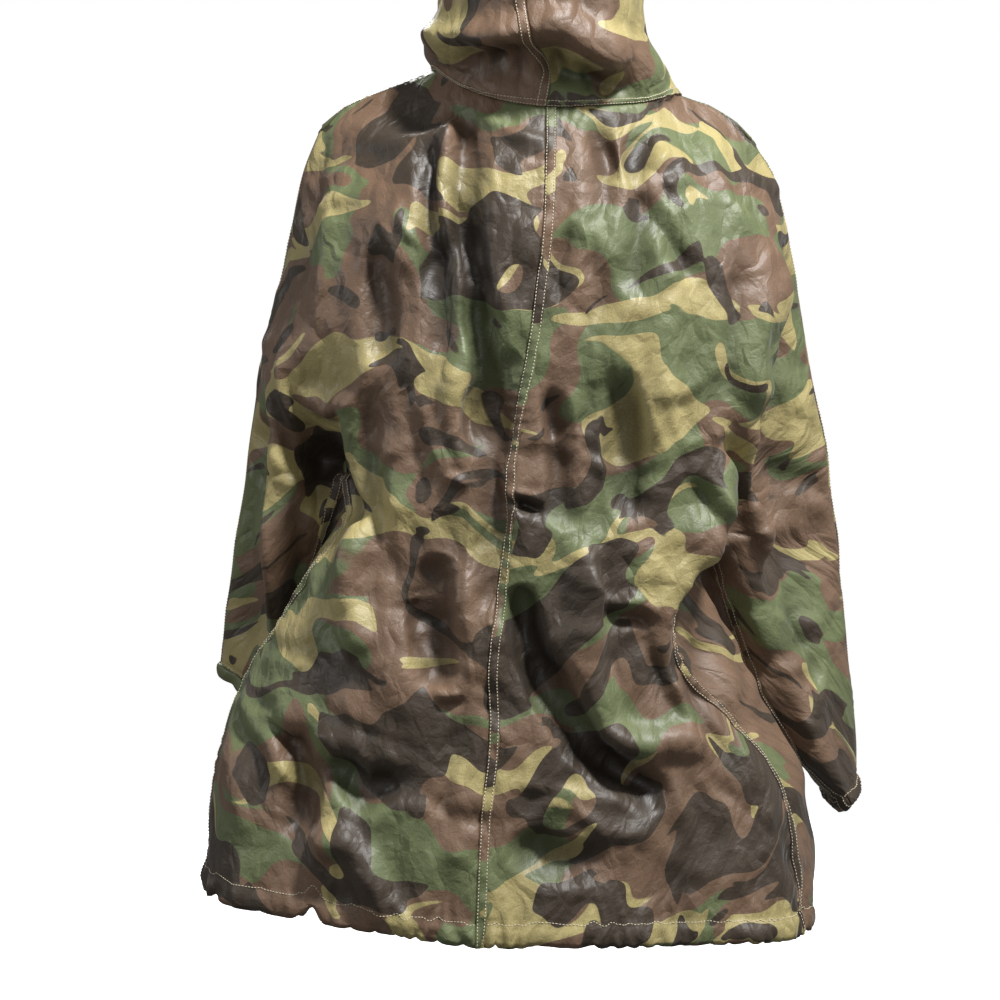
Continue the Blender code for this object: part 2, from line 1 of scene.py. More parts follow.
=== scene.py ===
"""The looks of a hooded rain parka in coated nylon with a woodland camouflage print.

Axes as in the CAD: +Z up, the fronts face -Y, the wearer's left is +X. Tables and the shapes
made from them are in millimetres. The photograph shows the back, so the camera looks along -Y.
Every panel is a thin shell on the surface of its CAD solid, with finer folds, felled seams and
stitches that the solids leave out.
"""

import math

import bpy
import numpy as np
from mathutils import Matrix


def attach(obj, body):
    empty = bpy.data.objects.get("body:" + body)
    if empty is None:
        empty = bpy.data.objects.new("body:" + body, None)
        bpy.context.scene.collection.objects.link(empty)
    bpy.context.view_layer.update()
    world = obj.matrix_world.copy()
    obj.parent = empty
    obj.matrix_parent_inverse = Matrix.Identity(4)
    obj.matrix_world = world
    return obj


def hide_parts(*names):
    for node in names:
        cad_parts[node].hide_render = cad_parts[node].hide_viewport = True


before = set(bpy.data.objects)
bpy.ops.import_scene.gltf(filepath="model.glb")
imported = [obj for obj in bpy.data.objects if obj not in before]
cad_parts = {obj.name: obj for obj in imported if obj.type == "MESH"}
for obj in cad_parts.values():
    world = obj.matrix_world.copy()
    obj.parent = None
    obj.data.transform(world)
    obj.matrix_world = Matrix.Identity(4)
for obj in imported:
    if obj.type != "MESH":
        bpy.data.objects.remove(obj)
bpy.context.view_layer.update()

MM = 0.001
TINY = 1e-9
FAR = 1e9

# Sizes of the cloth and the sewing
CLOTH = 0.9  # thickness of the shell that shows
CASING = 24.0  # height of the hem's casing, up to its stitch line
CUFF_CASING = 16.0
FELL = 11.0  # width of a felled seam
NECK_FELL = 8.0
BAND_LIFT = 1.25  # how far a felled layer stands off its panel
BAND_SUNK = -0.3  # its borders lie this deep in the panel
BAND_BORDER = 0.2
BAND_ROUNDING = 0.9  # width of the layer's rounded borders
FELL_STITCHES = (1.8, 1.6)  # the two rows of stitches, from the seam and from the border
NECK_FELL_STITCHES = (1.5, 1.2)
FELL_STITCH_LIFTS = (1.5, 1.4)
FELL_PRINT_SHIFT = (0.0, 9.0)  # from the print of the panel beside it
CENTRE_PRINT_SHIFT = (0.0, 14.0)
STITCH = 2.4  # length of a stitch
PITCH = 3.5  # from one stitch to the next
THREAD = 0.46  # half the thickness of the thread
STITCH_LIFT = 0.15
FLAP_HALF = 29.0
FLAP_COLUMNS = 12  # points across one half
FLAP_CLOTH = 1.4  # thickness of the doubled cloth of the flap
FLAP_LIFT = 0.9  # how far the flap and the tabs lie off the panel under them
FLAP_PRINT_AT = 400  # where the flap lies on the cloth, clear of the fronts
FLAP_STITCHES = (("left", 3), ("left", 9), ("right", 4))  # how far inwards from its borders
TAB_CLOTH = 1.3
TAB_WIDTH = 14.0
TAB_ABOVE_EDGE = 1.0
TAB_ENDS = (0.3, 5.6)  # from the overarm seam, in thirds of the way between two named points
TAB_GRID = (60, 6)  # points along it and across it
FOLD_DEPTH = 1.5  # the main folds are a little deeper in the cloth than in the solids
BODY_CREASE_DEPTH = 2.3  # factors on the heights of the tables of creases
SMALL_CREASE_DEPTH = 1.7
PAINTED_SHADE_DEPTH = 14  # a hollow this deep gets the full painted shade, which darkens the print
PRINT_STEP = 2000.0  # each front and hood panel is cut from another part of the print

# Relief along the seams: edge, axis along it, length of a pucker and its height
PUCKERS = (
    ("centre", 2, 13, 0.5), ("over", 2, 12, 0.2), ("side", 2, 12, 0.6), ("under", 2, 11, 0.6),
    ("neck", 0, 11, 0.6), ("shoulder", 0, 12, 0.12),
)
PUCKER_REACH = 14
SEAM_GROOVE, SEAM_GROOVE_WIDTH = 0.8, 1.6
# Casings: edge, height up to the stitch line, length of a gather
CASINGS = (("hem", CASING, 20), ("cuff", CUFF_CASING, 13), ("face", CUFF_CASING, 14))
GATHER_HEIGHT = 2.3
CASING_BULGE = 2.4
CASING_GROOVE, CASING_GROOVE_WIDTH = 1.4, 2.4
SCALLOP, SCALLOP_REACH = 27, 11
NOTCH_X, NOTCH_WIDTH, NOTCH_HEIGHT = 233, 7, 15  # a deep fold lifts the back hem here

# Camera and lights, in metres and watts
CAMERA_PLACE = (0.045, 2.5, -0.40)
CAMERA_LENS = 86.4
AIM = (0.02, 0.0, -0.4)
LIGHTS = (  # name, place, size, power
    ("key", (-1.1, 1.4, 2.2), 0.4, 170), ("fill", (0.2, 3.0, 0.2), 1.0, 12),
    ("left", (2.2, 0.7, 0.3), 0.9, 12), ("right", (-2.2, 0.7, 0.3), 0.9, 12),
    ("front", (0.6, -2.3, 1.6), 0.9, 75),
)
AMBIENT = 0.14  # strength of the background for everything but the camera
# Floor, in millimetres, and the strength of its own light
FLOOR_Z = -1060.0
FLOOR_RADII = (900.0, 1900.0, 2600.0)
FLOOR_SIDES = 96
FLOOR_GLOW = 0.55

# Colours. The print's layers lie over the green: ink; stretch, start and turn of its noise;
# scale, roughness and distortion of the noise; and the level above which the ink lies.
INKS = {
    "green": (0.116, 0.138, 0.060, 1), "brown": (0.150, 0.091, 0.055, 1),
    "tan": (0.345, 0.288, 0.122, 1), "black": (0.046, 0.032, 0.020, 1),
}
LAYERS = (
    ("brown", (0.75, 1.15, 1), (3.1, 1.7, 0.3), 0.25, 8.6, 0.45, 0.5, 0.475),
    ("tan", (0.7, 1.3, 1), (7.3, 2.9, 1.1), -0.2, 10.6, 0.5, 0.7, 0.60),
    ("black", (0.85, 1.2, 1), (1.9, 8.3, 2.7), 0.5, 11.5, 0.5, 0.9, 0.595),
)
EDGE_SOFTNESS = 0.003
THREAD_COLOURS = (0.36, 0.31, 0.21, 1), (0.72, 0.66, 0.50, 1)
COATING_COLOUR = (0.105, 0.115, 0.055, 1)
TAB_COLOUR = (0.13, 0.15, 0.065, 1)

# Columns of a panel's values, and of the lines that are made from them
PLACE, NORMAL, ON_CLOTH, LEAN_AND_PAINTED_SHADE = slice(0, 3), slice(3, 6), slice(6, 8), slice(8, 12)

# Spans between the named points of a section, and between its levels
SPANS = {
    "back": ((30, 24, 24, 18, 18), (16, 16, 16)),
    "front": ((15, 15, 15, 15, 15), (15, 15, 15)),
}
NECK_SPANS = SPANS["back"][0][:3] + SPANS["front"][0][2::-1]
UPPER_SPANS = 18
BODY_SPANS = 20
SLEEVE_SPANS = 16
HOOD_SPANS = 10
NEAR_EDGE = 40  # rows that count as near the neck and shoulder seams or the cuff
TOP_LINES = 60  # rows that a line down from the neck and shoulder seams may cross

APEX = 7  # the level at which body and sleeve part under the arm
# Normal of the cloth there, longer than 1 as in the CAD, where it keeps the wall's thickness
APEX_NORMAL = {"left": (0.4, 0.0, -2.2), "right": (-0.3, 0.5, -2.1)}
CHEST_SHARES = (0.25, 0.5, 0.75)  # of the way from the centre seam to the body's fold
CHEST_ROUNDNESS = 2.3  # power by which the cloth turns away there
FOLD_DOWN = 0.82  # share of the way from the centre seam's height to the side seam's
LOBE_UP, TUCK_UP = 0.34, 0.67  # of the way from the underarm seam to the overarm seam

# Centre seams: x, y, z for each level. The back seam drifts to the left as the parka hangs.
CENTRE_BACK = [
    (-1, 86, -5), (0, 111, -60), (2, 124, -120), (9, 128, -185), (18, 127, -250), (29, 124, -305),
    (36, 122, -355), (39, 121, -400), (44, 120, -450), (50, 119, -505), (57, 119, -565),
    (56, 120, -635), (65, 123, -725), (70, 127, -843),
]
CENTRE_FRONT = [
    (0, -90, -52), (2, -104, -105), (4, -114, -155), (8, -118, -210), (12, -118, -265),
    (16, -116, -315), (19, -114, -360), (21, -112, -405), (23, -110, -455), (25, -109, -508),
    (27, -108, -568), (29, -107, -640), (31, -107, -728), (33, -108, -838),
]

# Neck ring from the centre back to the centre front, and the shoulder seam: x, y, z
NECK = {
    "left": [(45, 79, 4), (76, 56, 18), (112, 6, 47), (82, -46, 2), (42, -80, -40)],
    "right": [(56, 80, -2), (99, 56, 5), (144, 6, 20), (100, -46, -8), (46, -80, -42)],
}
SHOULDER = {
    "left": [(137, -6, 39), (160, -9, 31), (184, -11, 22), (208, -12, 11), (231, -13, -7)],
    "right": [(159, -6, 17), (173, -9, 13), (188, -11, 5), (203, -12, -5), (218, -13, -20)],
}

# Overarm seam below the shoulder, levels 1 to 12: x, y, z
OVERARM = {
    "left": [
        (251, -20, -56), (265, -29, -118), (280, -44, -183), (298, -60, -246), (309, -80, -304),
        (316, -90, -346), (321, -98, -385), (330, -108, -432), (337, -118, -476),
        (344, -130, -519), (350, -142, -560), (355, -152, -592),
    ],
    "right": [
        (241, -20, -64), (257, -29, -120), (271, -44, -186), (284, -60, -252), (297, -74, -313),
        (308, -86, -375), (318, -98, -436), (323, -110, -493), (332, -122, -550),
        (341, -136, -610), (348, -150, -667), (350, -166, -717),
    ],
}

# Side seam from the point under the arm to the hem, levels 7 to 13: x, y, z
SIDE_SEAM = {
    "left": [
        (207, -2, -372), (204, 20, -420), (238, 25, -466), (270, 5, -516), (320, -15, -602),
        (343, -20, -700), (353, -18, -803),
    ],
    "right": [
        (162, 12, -436), (130, 80, -502), (135, 78, -556), (184, 55, -612), (242, 33, -688),
        (264, 26, -768), (269, 20, -848),
    ],
}
# Underarm seam of the sleeve from the same point to the cuff, levels 7 to 12: x, y, z
UNDERARM_SEAM = {
    "left": [
        (207, -2, -372), (228, -20, -436), (246, -42, -492), (262, -66, -548), (264, -94, -602),
        (270, -106, -650),
    ],
    "right": [
        (162, 12, -436), (186, -18, -490), (204, -36, -545), (234, -52, -615), (268, -70, -667),
        (328, -98, -737),
    ],
}

# Body levels 1 to 13 of each panel: fold x, y, and above the parting also under x, y, z
BACK_BODY = {
    "left": [
        (160, 62, 194, 38, -58), (170, 86, 206, 60, -120), (180, 90, 218, 64, -184),
        (184, 90, 222, 66, -244), (194, 82, 220, 48, -290), (204, 62, 200, 14, -332), (206, 57),
        (197, 66), (202, 74), (234, 62), (290, 50), (319, 52), (328, 60),
    ],
    "right": [
        (156, 64, 188, 44, -66), (168, 88, 206, 64, -128), (170, 96, 212, 76, -196),
        (166, 98, 204, 84, -264), (168, 92, 194, 70, -326), (186, 70, 174, 18, -386), (178, 74),
        (138, 92), (114, 100), (152, 86), (216, 66), (238, 66), (244, 70),
    ],
}
FRONT_BODY = {
    "left": [
        (158, -64, 190, -54, -66), (166, -82, 200, -72, -126), (172, -88, 206, -80, -190),
        (174, -84, 206, -68, -250), (176, -76, 203, -44, -296), (182, -66, 202, -22, -336),
        (186, -42), (210, -22), (242, -14), (260, -36), (296, -58), (318, -64), (326, -66),
    ],
    "right": [
        (150, -64, 182, -54, -74), (158, -82, 192, -70, -134), (160, -86, 192, -74, -200),
        (160, -84, 188, -66, -268), (156, -78, 182, -50, -330), (150, -70, 167, -22, -386),
        (142, -50), (166, -8), (198, -16), (229, -20), (268, -32), (288, -38), (281, -42),
    ],
}
# Sleeve levels 1 to 12 of each panel: lobe x, y and tuck x, y
BACK_SLEEVE = {
    "left": [
        (212, 24, 234, 6), (234, 34, 254, 2), (248, 34, 268, -8), (270, 26, 288, -20),
        (286, 14, 290, -28), (286, 8, 270, -38), (288, 6, 268, -44), (293, 6, 276, -44),
        (290, -6, 284, -54), (288, -38, 300, -76), (294, -78, 318, -98), (298, -94, 324, -114),
    ],
    "right": [
        (208, 28, 226, 8), (238, 38, 247, 6), (248, 40, 240, -2), (240, 50, 224, 6),
        (216, 52, 202, 8), (212, 32, 198, -18), (226, 14, 206, -36), (226, -8, 250, -44),
        (240, -24, 280, -56), (268, -44, 304, -72), (296, -60, 322, -94), (336, -90, 344, -122),
    ],
}
FRONT_SLEEVE = {
    "left": [
        (210, -58, 231, -52), (226, -72, 249, -64), (236, -82, 262, -76), (238, -90, 276, -90),
        (236, -88, 284, -104), (230, -86, 290, -114), (220, -92, 294, -124),
        (212, -98, 298, -136), (232, -106, 304, -148), (256, -124, 312, -160),
        (266, -138, 318, -172), (280, -148, 326, -180),
    ],
    "right": [
        (204, -58, 222, -52), (218, -70, 239, -62), (226, -76, 252, -72), (222, -80, 256, -84),
        (212, -82, 262, -98), (196, -86, 268, -112), (178, -94, 274, -124),
        (168, -102, 282, -136), (194, -100, 294, -150), (244, -116, 308, -164),
        (282, -132, 320, -180), (318, -140, 332, -192),
    ],
}

# Hood levels 1 to 6, from the neck seam up: back y, z and face edge x, y, z; then for each side
# its half width and the y, z of its widest point
HOOD = [
    (90, 26, 30, -114, -16), (119, 62, 62, -132, 42), (127, 122, 84, -139, 106),
    (125, 184, 88, -141, 172), (112, 240, 74, -139, 232), (94, 280, 44, -134, 274),
]
HOOD_WIDEST = {
    "left": [
        (120, 0, 62), (113, -4, 92), (106, -8, 142), (101, -10, 196), (89, -12, 250),
        (60, -16, 298),
    ],
    "right": [
        (131, 2, 44), (107, -4, 84), (101, -8, 140), (98, -10, 196), (88, -12, 250),
        (60, -16, 298),
    ],
}
# Centre seam of the hood over the crown, from the back to the forehead: y, z
CROWN = [(82, 300), (54, 322), (20, 334), (-14, 338), (-52, 334), (-92, 318), (-130, 292)]
# How far the hood's centre seam lies from the middle, for levels 0 to 7
HOOD_SEAM_X = (-1, -5, 14, 22, 18, 12, 6, 4)
# Points of a hood section: shares in x, y, z of the way from the back to the side, and from the
# side to the face edge
HOOD_BEHIND = ((0.56, 0.88, 0.3), (0.91, 0.5, 0.65))
HOOD_BEFORE = ((0.12, 0.42, 0.36), (0.5, 0.78, 0.7))

# Main folds. Each runs through three points x, z on the face it is seen on; then its half
# width, and its height, which is negative for a trough.
FOLDS = {
    ("back", "body"): [
        (80, -10, 80, -150, 66, -330, 30, -9), (110, -60, 107, -150, 104, -235, 26, -5),
        (95, -30, 93, -140, 86, -290, 24, 4), (174, -160, 172, -200, 168, -245, 26, -7),
        (-55, -25, -57, -60, -60, -100, 24, -5), (-92, -25, -93, -45, -94, -65, 22, -4),
        (44, -270, 50, -380, 56, -490, 26, -6), (-75, -290, -82, -340, -88, -400, 28, -8),
        (-8, -310, -14, -350, -20, -412, 22, -5), (110, -480, 113, -520, 112, -565, 30, -11),
        (29, -512, -39, -643, -104, -692, 28, -9), (-36, -460, -42, -560, -70, -641, 26, 7),
        (-70, -641, -110, -645, -145, -641, 26, 6), (250, -645, 248, -690, 244, -739, 28, -8),
        (211, -669, 180, -690, 152, -684, 28, -9), (190, -430, 198, -500, 176, -550, 28, 7),
        (20, -747, -10, -755, -44, -759, 26, -6), (244, -745, 200, -742, 146, -815, 26, 6),
        (310, -606, 285, -618, 262, -640, 24, -8), (-130, -180, -118, -260, -120, -330, 28, 5),
    ],
    ("front", "body"): [
        (70, -120, 74, -260, 70, -380, 30, -7), (-80, -140, -86, -280, -76, -390, 30, -7),
        (130, -430, 110, -560, 90, -640, 32, -8), (-60, -480, -110, -600, -150, -700, 32, -8),
        (150, -640, 160, -720, 155, -800, 30, 7), (-170, -620, -165, -720, -170, -810, 30, -6),
        (60, -300, 100, -420, 150, -470, 30, 6), (-120, -400, -90, -440, -60, -520, 28, 6),
    ],
    ("back", "sleeve"): [
        (-300, -400, -290, -480, -262, -560, 26, -5), (-322, -560, -302, -600, -284, -640, 24, 5),
        (300, -330, 316, -430, 322, -540, 24, -4),
    ],
    ("front", "sleeve"): [
        (290, -250, 286, -360, 300, -470, 28, -6), (-270, -300, -262, -420, -280, -540, 28, -6),
    ],
}


def smooth_curve(points, spans, before=None, after=None):
    """Points on one smooth line through the given points, with a number of spans between each
    two. before and after are the points that the line would go on to at its ends."""
    points = np.asarray(points, float)
    before = 2 * points[0] - points[1] if before is None else np.asarray(before, float)
    after = 2 * points[-1] - points[-2] if after is None else np.asarray(after, float)
    line = np.vstack([before[None], points, after[None]])
    spacing = np.sqrt(np.maximum(np.linalg.norm(np.diff(line, axis=0), axis=-1), 1e-6))
    made = []
    for k, count in enumerate(spans):
        p0, p1, p2, p3 = line[k : k + 4]
        d0, d1, d2 = spacing[k : k + 3]
        slope1 = (p1 - p0) / d0 - (p2 - p0) / (d0 + d1) + (p2 - p1) / d1
        slope2 = (p2 - p1) / d1 - (p3 - p1) / (d1 + d2) + (p3 - p2) / d2
        for step in range(count):
            t = step / count
            made.append(
                (2 * t**3 - 3 * t**2 + 1) * p1
                + (t**3 - 2 * t**2 + t) * slope1 * d1
                + (3 * t**2 - 2 * t**3) * p2
                + (t**3 - t**2) * slope2 * d1
            )
    made.append(line[len(spans) + 1])
    return np.array(made)


def outwards(points, side):
    """The tables count x outwards from the middle, so the right side is turned over."""
    points = np.array(points, float)
    if side == "right":
        points[..., 0] *= -1
    return points


def mixed(a, b, share):
    return np.asarray(a) * (1 - share) + np.asarray(b) * share


def unit(vectors):
    return vectors / np.maximum(np.linalg.norm(vectors, axis=-1, keepdims=True), TINY)


def length_along(line):
    """Length along a line of points, at each of them."""
    return np.concatenate([[0], np.cumsum(np.linalg.norm(np.diff(line, axis=0), axis=1))])


def values_at(places, known, values):
    """Each column of values, read between its known places."""
    return np.array([np.interp(places, known, values[:, k]) for k in range(values.shape[1])])


def bell(value, width):
    return np.exp(-((value / width) ** 2))


def other(side):
    return "right" if side == "left" else "left"


def panel_levels(face, side):
    """Two lists of sections, each a list of named points: those of the body, with 6 points,
    and those of the sleeve, with 4. They share the point under the arm down to the parting."""
    centre = CENTRE_BACK if face == "back" else CENTRE_FRONT
    body_rows = (BACK_BODY if face == "back" else FRONT_BODY)[side]
    sleeve_rows = (BACK_SLEEVE if face == "back" else FRONT_SLEEVE)[side]
    neck = outwards(NECK[side], side)
    shoulder = outwards(SHOULDER[side], side)
    neck_points = neck[:3] if face == "back" else neck[:1:-1]
    start = np.array(centre[0], float)
    body = [[start, *neck_points, shoulder[0], shoulder[1]]]
    sleeve = [list(shoulder[1:])]
    for level, row in enumerate(body_rows, start=1):
        middle = np.array(centre[level], float)
        if level >= APEX:
            under = outwards(SIDE_SEAM[side][level - APEX], side)
        else:
            under = outwards(row[2:5], side)
        fold_z = mixed(middle[2], under[2], FOLD_DOWN)
        fold = outwards((row[0], row[1], fold_z), side)
        chest = []
        for share in CHEST_SHARES:
            point = mixed(middle, fold, share)
            point[1] = middle[1] + (fold[1] - middle[1]) * share**CHEST_ROUNDNESS
            chest.append(point)
        body.append([middle, *chest, fold, under])
    for level, row in enumerate(sleeve_rows, start=1):
        over = outwards(OVERARM[side][level - 1], side)
        if level >= APEX:
            under = outwards(UNDERARM_SEAM[side][level - APEX], side)
        else:
            under = body[level][5]
        lobe = outwards((*row[:2], mixed(under[2], over[2], LOBE_UP)), side)
        tuck = outwards((*row[2:], mixed(under[2], over[2], TUCK_UP)), side)
        sleeve.append([under, lobe, tuck, over])
    return body, sleeve


def between_levels(levels, first, last, spans, seam_column=None):
    """Sections from one level to another. The seam column has its own line from the parting
    on, because body and sleeve go their own ways there."""
    levels = np.array(levels, float)
    columns = []
    for column in range(levels.shape[1]):
        line = levels[:, column]
        own = column == seam_column
        before = None if first == 0 or (own and first == APEX) else line[first - 1]
        after = None if last + 1 == len(line) or (own and last == APEX) else line[last + 1]
        reached = line[first : last + 1]
        columns.append(smooth_curve(reached, [spans] * (last - first), before, after))
    return np.stack(columns, axis=1)


# Finer creases. Each runs through three points x, z on the face it is seen on; then its half
# width, its height, which is negative for a trough, and how sharp it is, from 0 to 1.
CREASES = {
    ("back", "body"): [
        (80, 0, 81, -140, 66, -335, 13, -7.5, 0.5), (97, -10, 96, -120, 92, -280, 9, 4, 0.7),
        (111, -50, 109, -140, 105, -235, 12, -5, 0.6),
        (176, -154, 173, -200, 169, -240, 12, -4, 0.8),
        (-54, -23, -60, -50, -58, -88, 11, -6.5, 0.6),
        (-90, -23, -92, -45, -94, -70, 10, -3.5, 0.6),
        (42, -260, 50, -370, 54, -490, 11, -3, 0.7),
        (-38, -276, -38, -296, -36, -330, 10, -3, 0.7),
        (-6, -310, -13, -345, -18, -412, 10, -3, 0.7),
        (34, -393, 16, -396, -4, -393, 9, -2.5, 0.7),
        (-67, -288, -78, -340, -92, -400, 14, -4.5, 0.6),
        (93, -410, 92, -440, 90, -465, 10, -3, 0.7),
        (125, -494, 110, -530, 99, -562, 15, -5.5, 0.6),
        (29, -512, -39, -643, -104, -692, 15, -3.2, 0.5),
        (8, -556, 0, -585, -13, -612, 10, -4.5, 0.7),
        (-36, -460, -38, -560, -70, -641, 11, 3.5, 0.8),
        (-70, -641, -108, -645, -145, -641, 11, 3, 0.8),
        (250, -645, 246, -692, 244, -739, 10, -4, 0.8),
        (244, -745, 215, -738, 188, -742, 11, 3.5, 0.8),
        (188, -742, 176, -775, 146, -815, 11, 3.5, 0.8),
        (211, -669, 179, -691, 152, -684, 12, -5, 0.6),
        (-37, -655, -70, -680, -101, -692, 10, -1.5, 0.7),
        (20, -747, -12, -757, -44, -759, 11, -3.5, 0.7),
        (195, -420, 200, -500, 175, -550, 11, 3.5, 0.7),
    ],
    ("back", "all"): [
        (80, -280, 73, -310, 65, -338, 9, -5, 0.6), (162, -105, 143, -128, 125, -150, 7, 4, 0.8),
        (170, -115, 153, -146, 135, -175, 7, 4, 0.8), (95, 10, 125, -5, 150, -20, 14, -5, 0.3),
        (200, -17, 155, -27, 115, -37, 13, 5, 0.5), (115, -37, 104, -41, 93, -45, 8, 4, 0.7),
        (-110, -50, -125, -58, -140, -65, 7, 5, 0.8),
        (-140, -65, -137, -78, -131, -90, 7, 5, 0.8),
        (-100, -100, -93, -145, -80, -190, 10, -6, 0.6),
        (-100, -100, -123, -140, -145, -185, 10, -6, 0.6),
        (-30, -140, -26, -172, -22, -205, 8, -5, 0.7),
        (-50, -140, -53, -170, -55, -185, 8, -4, 0.7),
        (-80, -160, -67, -195, -55, -230, 8, -5, 0.7), (48, -13, 33, -30, 5, -55, 8, 4, 0.7),
        (83, -185, 71, -195, 60, -205, 6, 4, 0.8), (2, -285, -6, -312, -15, -340, 8, -4, 0.7),
        (34, -391, 15, -393, -4, -397, 6, 5, 0.8), (34, -401, 15, -404, -4, -408, 7, -5, 0.7),
        (-145, -380, -160, -400, -175, -430, 9, -5, 0.7),
        (-155, -370, -177, -395, -190, -420, 8, 4, 0.7),
        (-60, -505, -87, -506, -115, -512, 6, 5, 0.8),
        (-55, -518, -80, -519, -105, -521, 8, -7, 0.6),
        (-43, -460, -39, -500, -35, -540, 6, 5, 0.9), (25, -490, 17, -525, 10, -560, 10, -6, 0.6),
        (120, -295, 113, -340, 105, -380, 9, 5, 0.7), (105, -380, 93, -384, 80, -387, 6, 4, 0.9),
        (-37, -655, -70, -675, -101, -692, 8, -4, 0.6),
        (319, -604, 285, -620, 245, -645, 9, 5, 0.7),
        (319, -610, 295, -660, 283, -710, 9, -5, 0.6),
        (310, -615, 270, -675, 235, -700, 9, 5, 0.7),
        (323, -620, 317, -680, 313, -740, 8, 4, 0.7),
        (195, -420, 198, -470, 200, -520, 10, 5, 0.6),
        (200, -520, 190, -537, 175, -550, 9, 5, 0.6), (120, -590, 105, -595, 90, -593, 5, 4, 0.9),
        (117, -603, 103, -606, 87, -602, 5, -4, 0.8),
        (246, -283, 220, -300, 195, -311, 10, 11, 0.5),
        (239, -340, 220, -380, 200, -420, 16, -16, 0.3),
        (245, -355, 233, -390, 227, -425, 9, -8, 0.5),
        (277, -260, 260, -320, 242, -378, 8, 6, 0.8),
        (263, -270, 252, -330, 241, -378, 7, -6, 0.7),
        (283, -300, 265, -345, 243, -382, 8, -5, 0.6),
        (283, -350, 263, -370, 242, -385, 7, 5, 0.8),
        (245, -400, 253, -450, 259, -500, 8, -5, 0.6),
        (-241, -137, -217, -280, -195, -370, 13, 7, 0.5),
        (-195, -370, -170, -430, -143, -485, 13, 8, 0.5),
        (-140, -445, -153, -470, -166, -495, 13, -3, 0.3),
        (-225, -230, -245, -320, -255, -420, 10, -6, 0.6),
        (-190, -460, -215, -500, -245, -580, 9, 5, 0.7),
        (-175, -500, -200, -550, -220, -600, 8, -6, 0.7),
        (-255, -460, -270, -540, -290, -600, 9, -5, 0.6),
        (-215, -380, -235, -460, -267, -510, 9, 5, 0.7),
        (223, -50, 245, -130, 253, -200, 12, -5, 0.5),
        (200, -70, 215, -140, 227, -230, 9, 4, 0.7),
        (183, -290, 173, -350, 179, -420, 12, -6, 0.5),
        (150, -300, 143, -370, 147, -440, 10, 5, 0.6), (75, -460, 79, -520, 75, -580, 9, 4, 0.8),
        (147, -510, 153, -560, 140, -620, 11, 5, 0.6),
        (-110, -460, -95, -500, -65, -504, 8, 4, 0.7),
        (-195, -150, -190, -230, -200, -300, 10, -5, 0.6),
        (-167, -30, -183, -90, -190, -140, 11, 5, 0.6),
        (-145, -540, -155, -600, -190, -660, 9, -5, 0.6),
        (-95, -540, -120, -600, -155, -645, 9, -5, 0.6),
        (-15, -700, -55, -730, -105, -738, 9, 4, 0.7),
        (115, -700, 85, -715, 45, -712, 8, -4, 0.7),
    ],
    ("front", "all"): [
        (60, -20, 62, -180, 52, -380, 13, -7, 0.6), (-40, -20, -46, -190, -40, -330, 12, -6, 0.6),
        (110, -60, 120, -200, 130, -360, 11, 5, 0.7),
        (-105, -60, -112, -190, -125, -320, 11, 5, 0.7),
        (150, -120, 170, -230, 190, -330, 10, -6, 0.6),
        (-140, -120, -150, -240, -155, -380, 10, -6, 0.6),
        (30, -420, 70, -520, 140, -610, 12, 6, 0.6),
        (-20, -430, -60, -540, -110, -640, 12, -6, 0.6),
        (200, -420, 190, -520, 210, -640, 11, 5, 0.7),
        (-170, -480, -180, -560, -210, -660, 11, 5, 0.7),
        (90, -640, 140, -690, 200, -705, 10, -5, 0.6),
        (-60, -660, -120, -700, -170, -760, 10, 5, 0.7),
        (230, -560, 240, -660, 262, -760, 10, -5, 0.6),
        (20, -600, 30, -700, 15, -800, 10, 5, 0.7),
        (-200, -620, -220, -700, -228, -780, 10, -5, 0.6),
        (150, -300, 110, -380, 90, -470, 9, 4, 0.8), (-90, -300, -70, -380, -72, -460, 9, 4, 0.8),
        (260, -250, 272, -330, 270, -420, 10, -5, 0.6),
        (-225, -250, -240, -340, -250, -430, 10, -5, 0.6),
        (290, -420, 300, -480, 306, -540, 9, 5, 0.7),
        (-262, -450, -280, -530, -296, -600, 9, 5, 0.7),
        (120, -740, 150, -790, 160, -840, 9, 5, 0.7),
        (-30, -720, -44, -780, -40, -840, 9, -5, 0.7),
        (250, -690, 200, -740, 170, -820, 9, 5, 0.7),
    ],
}

# Creases of the hood, as above
HOOD_CREASES = [
    (118, 74, 70, 60, 5, 58, 14, 20, 0.5), (15, 58, -16, 66, -90, 36, 14, 20, 0.5),
    (110, 44, 60, 32, 8, 28, 14, -16, 0.3), (12, 34, -30, 32, -90, 12, 12, -16, 0.3),
    (84, 52, 72, 40, 66, 22, 7, 6, 0.8), (76, 54, 62, 42, 54, 24, 6, -6, 0.7),
    (48, 50, 30, 44, 14, 46, 6, -5, 0.8), (-4, 52, -16, 38, -12, 20, 6, -6, 0.8),
    (-50, 56, -70, 40, -84, 36, 7, 6, 0.8), (-28, 50, -46, 40, -52, 22, 6, -6, 0.8),
    (60, 44, 44, 34, 36, 20, 7, 8, 0.8), (30, 46, 18, 32, 0, 22, 6, 5, 0.7),
    (-20, 40, -36, 30, -40, 14, 6, 6, 0.7), (-44, 44, -58, 30, -66, 14, 6, -5, 0.7),
    (-8, 150, -14, 110, -20, 72, 8, 5, 0.7), (-40, 140, -36, 110, -34, 80, 8, -4, 0.7),
    (60, 95, 20, 84, -30, 92, 10, -3, 0.5), (90, 25, 50, 14, 20, 10, 8, 2, 0.6),
]

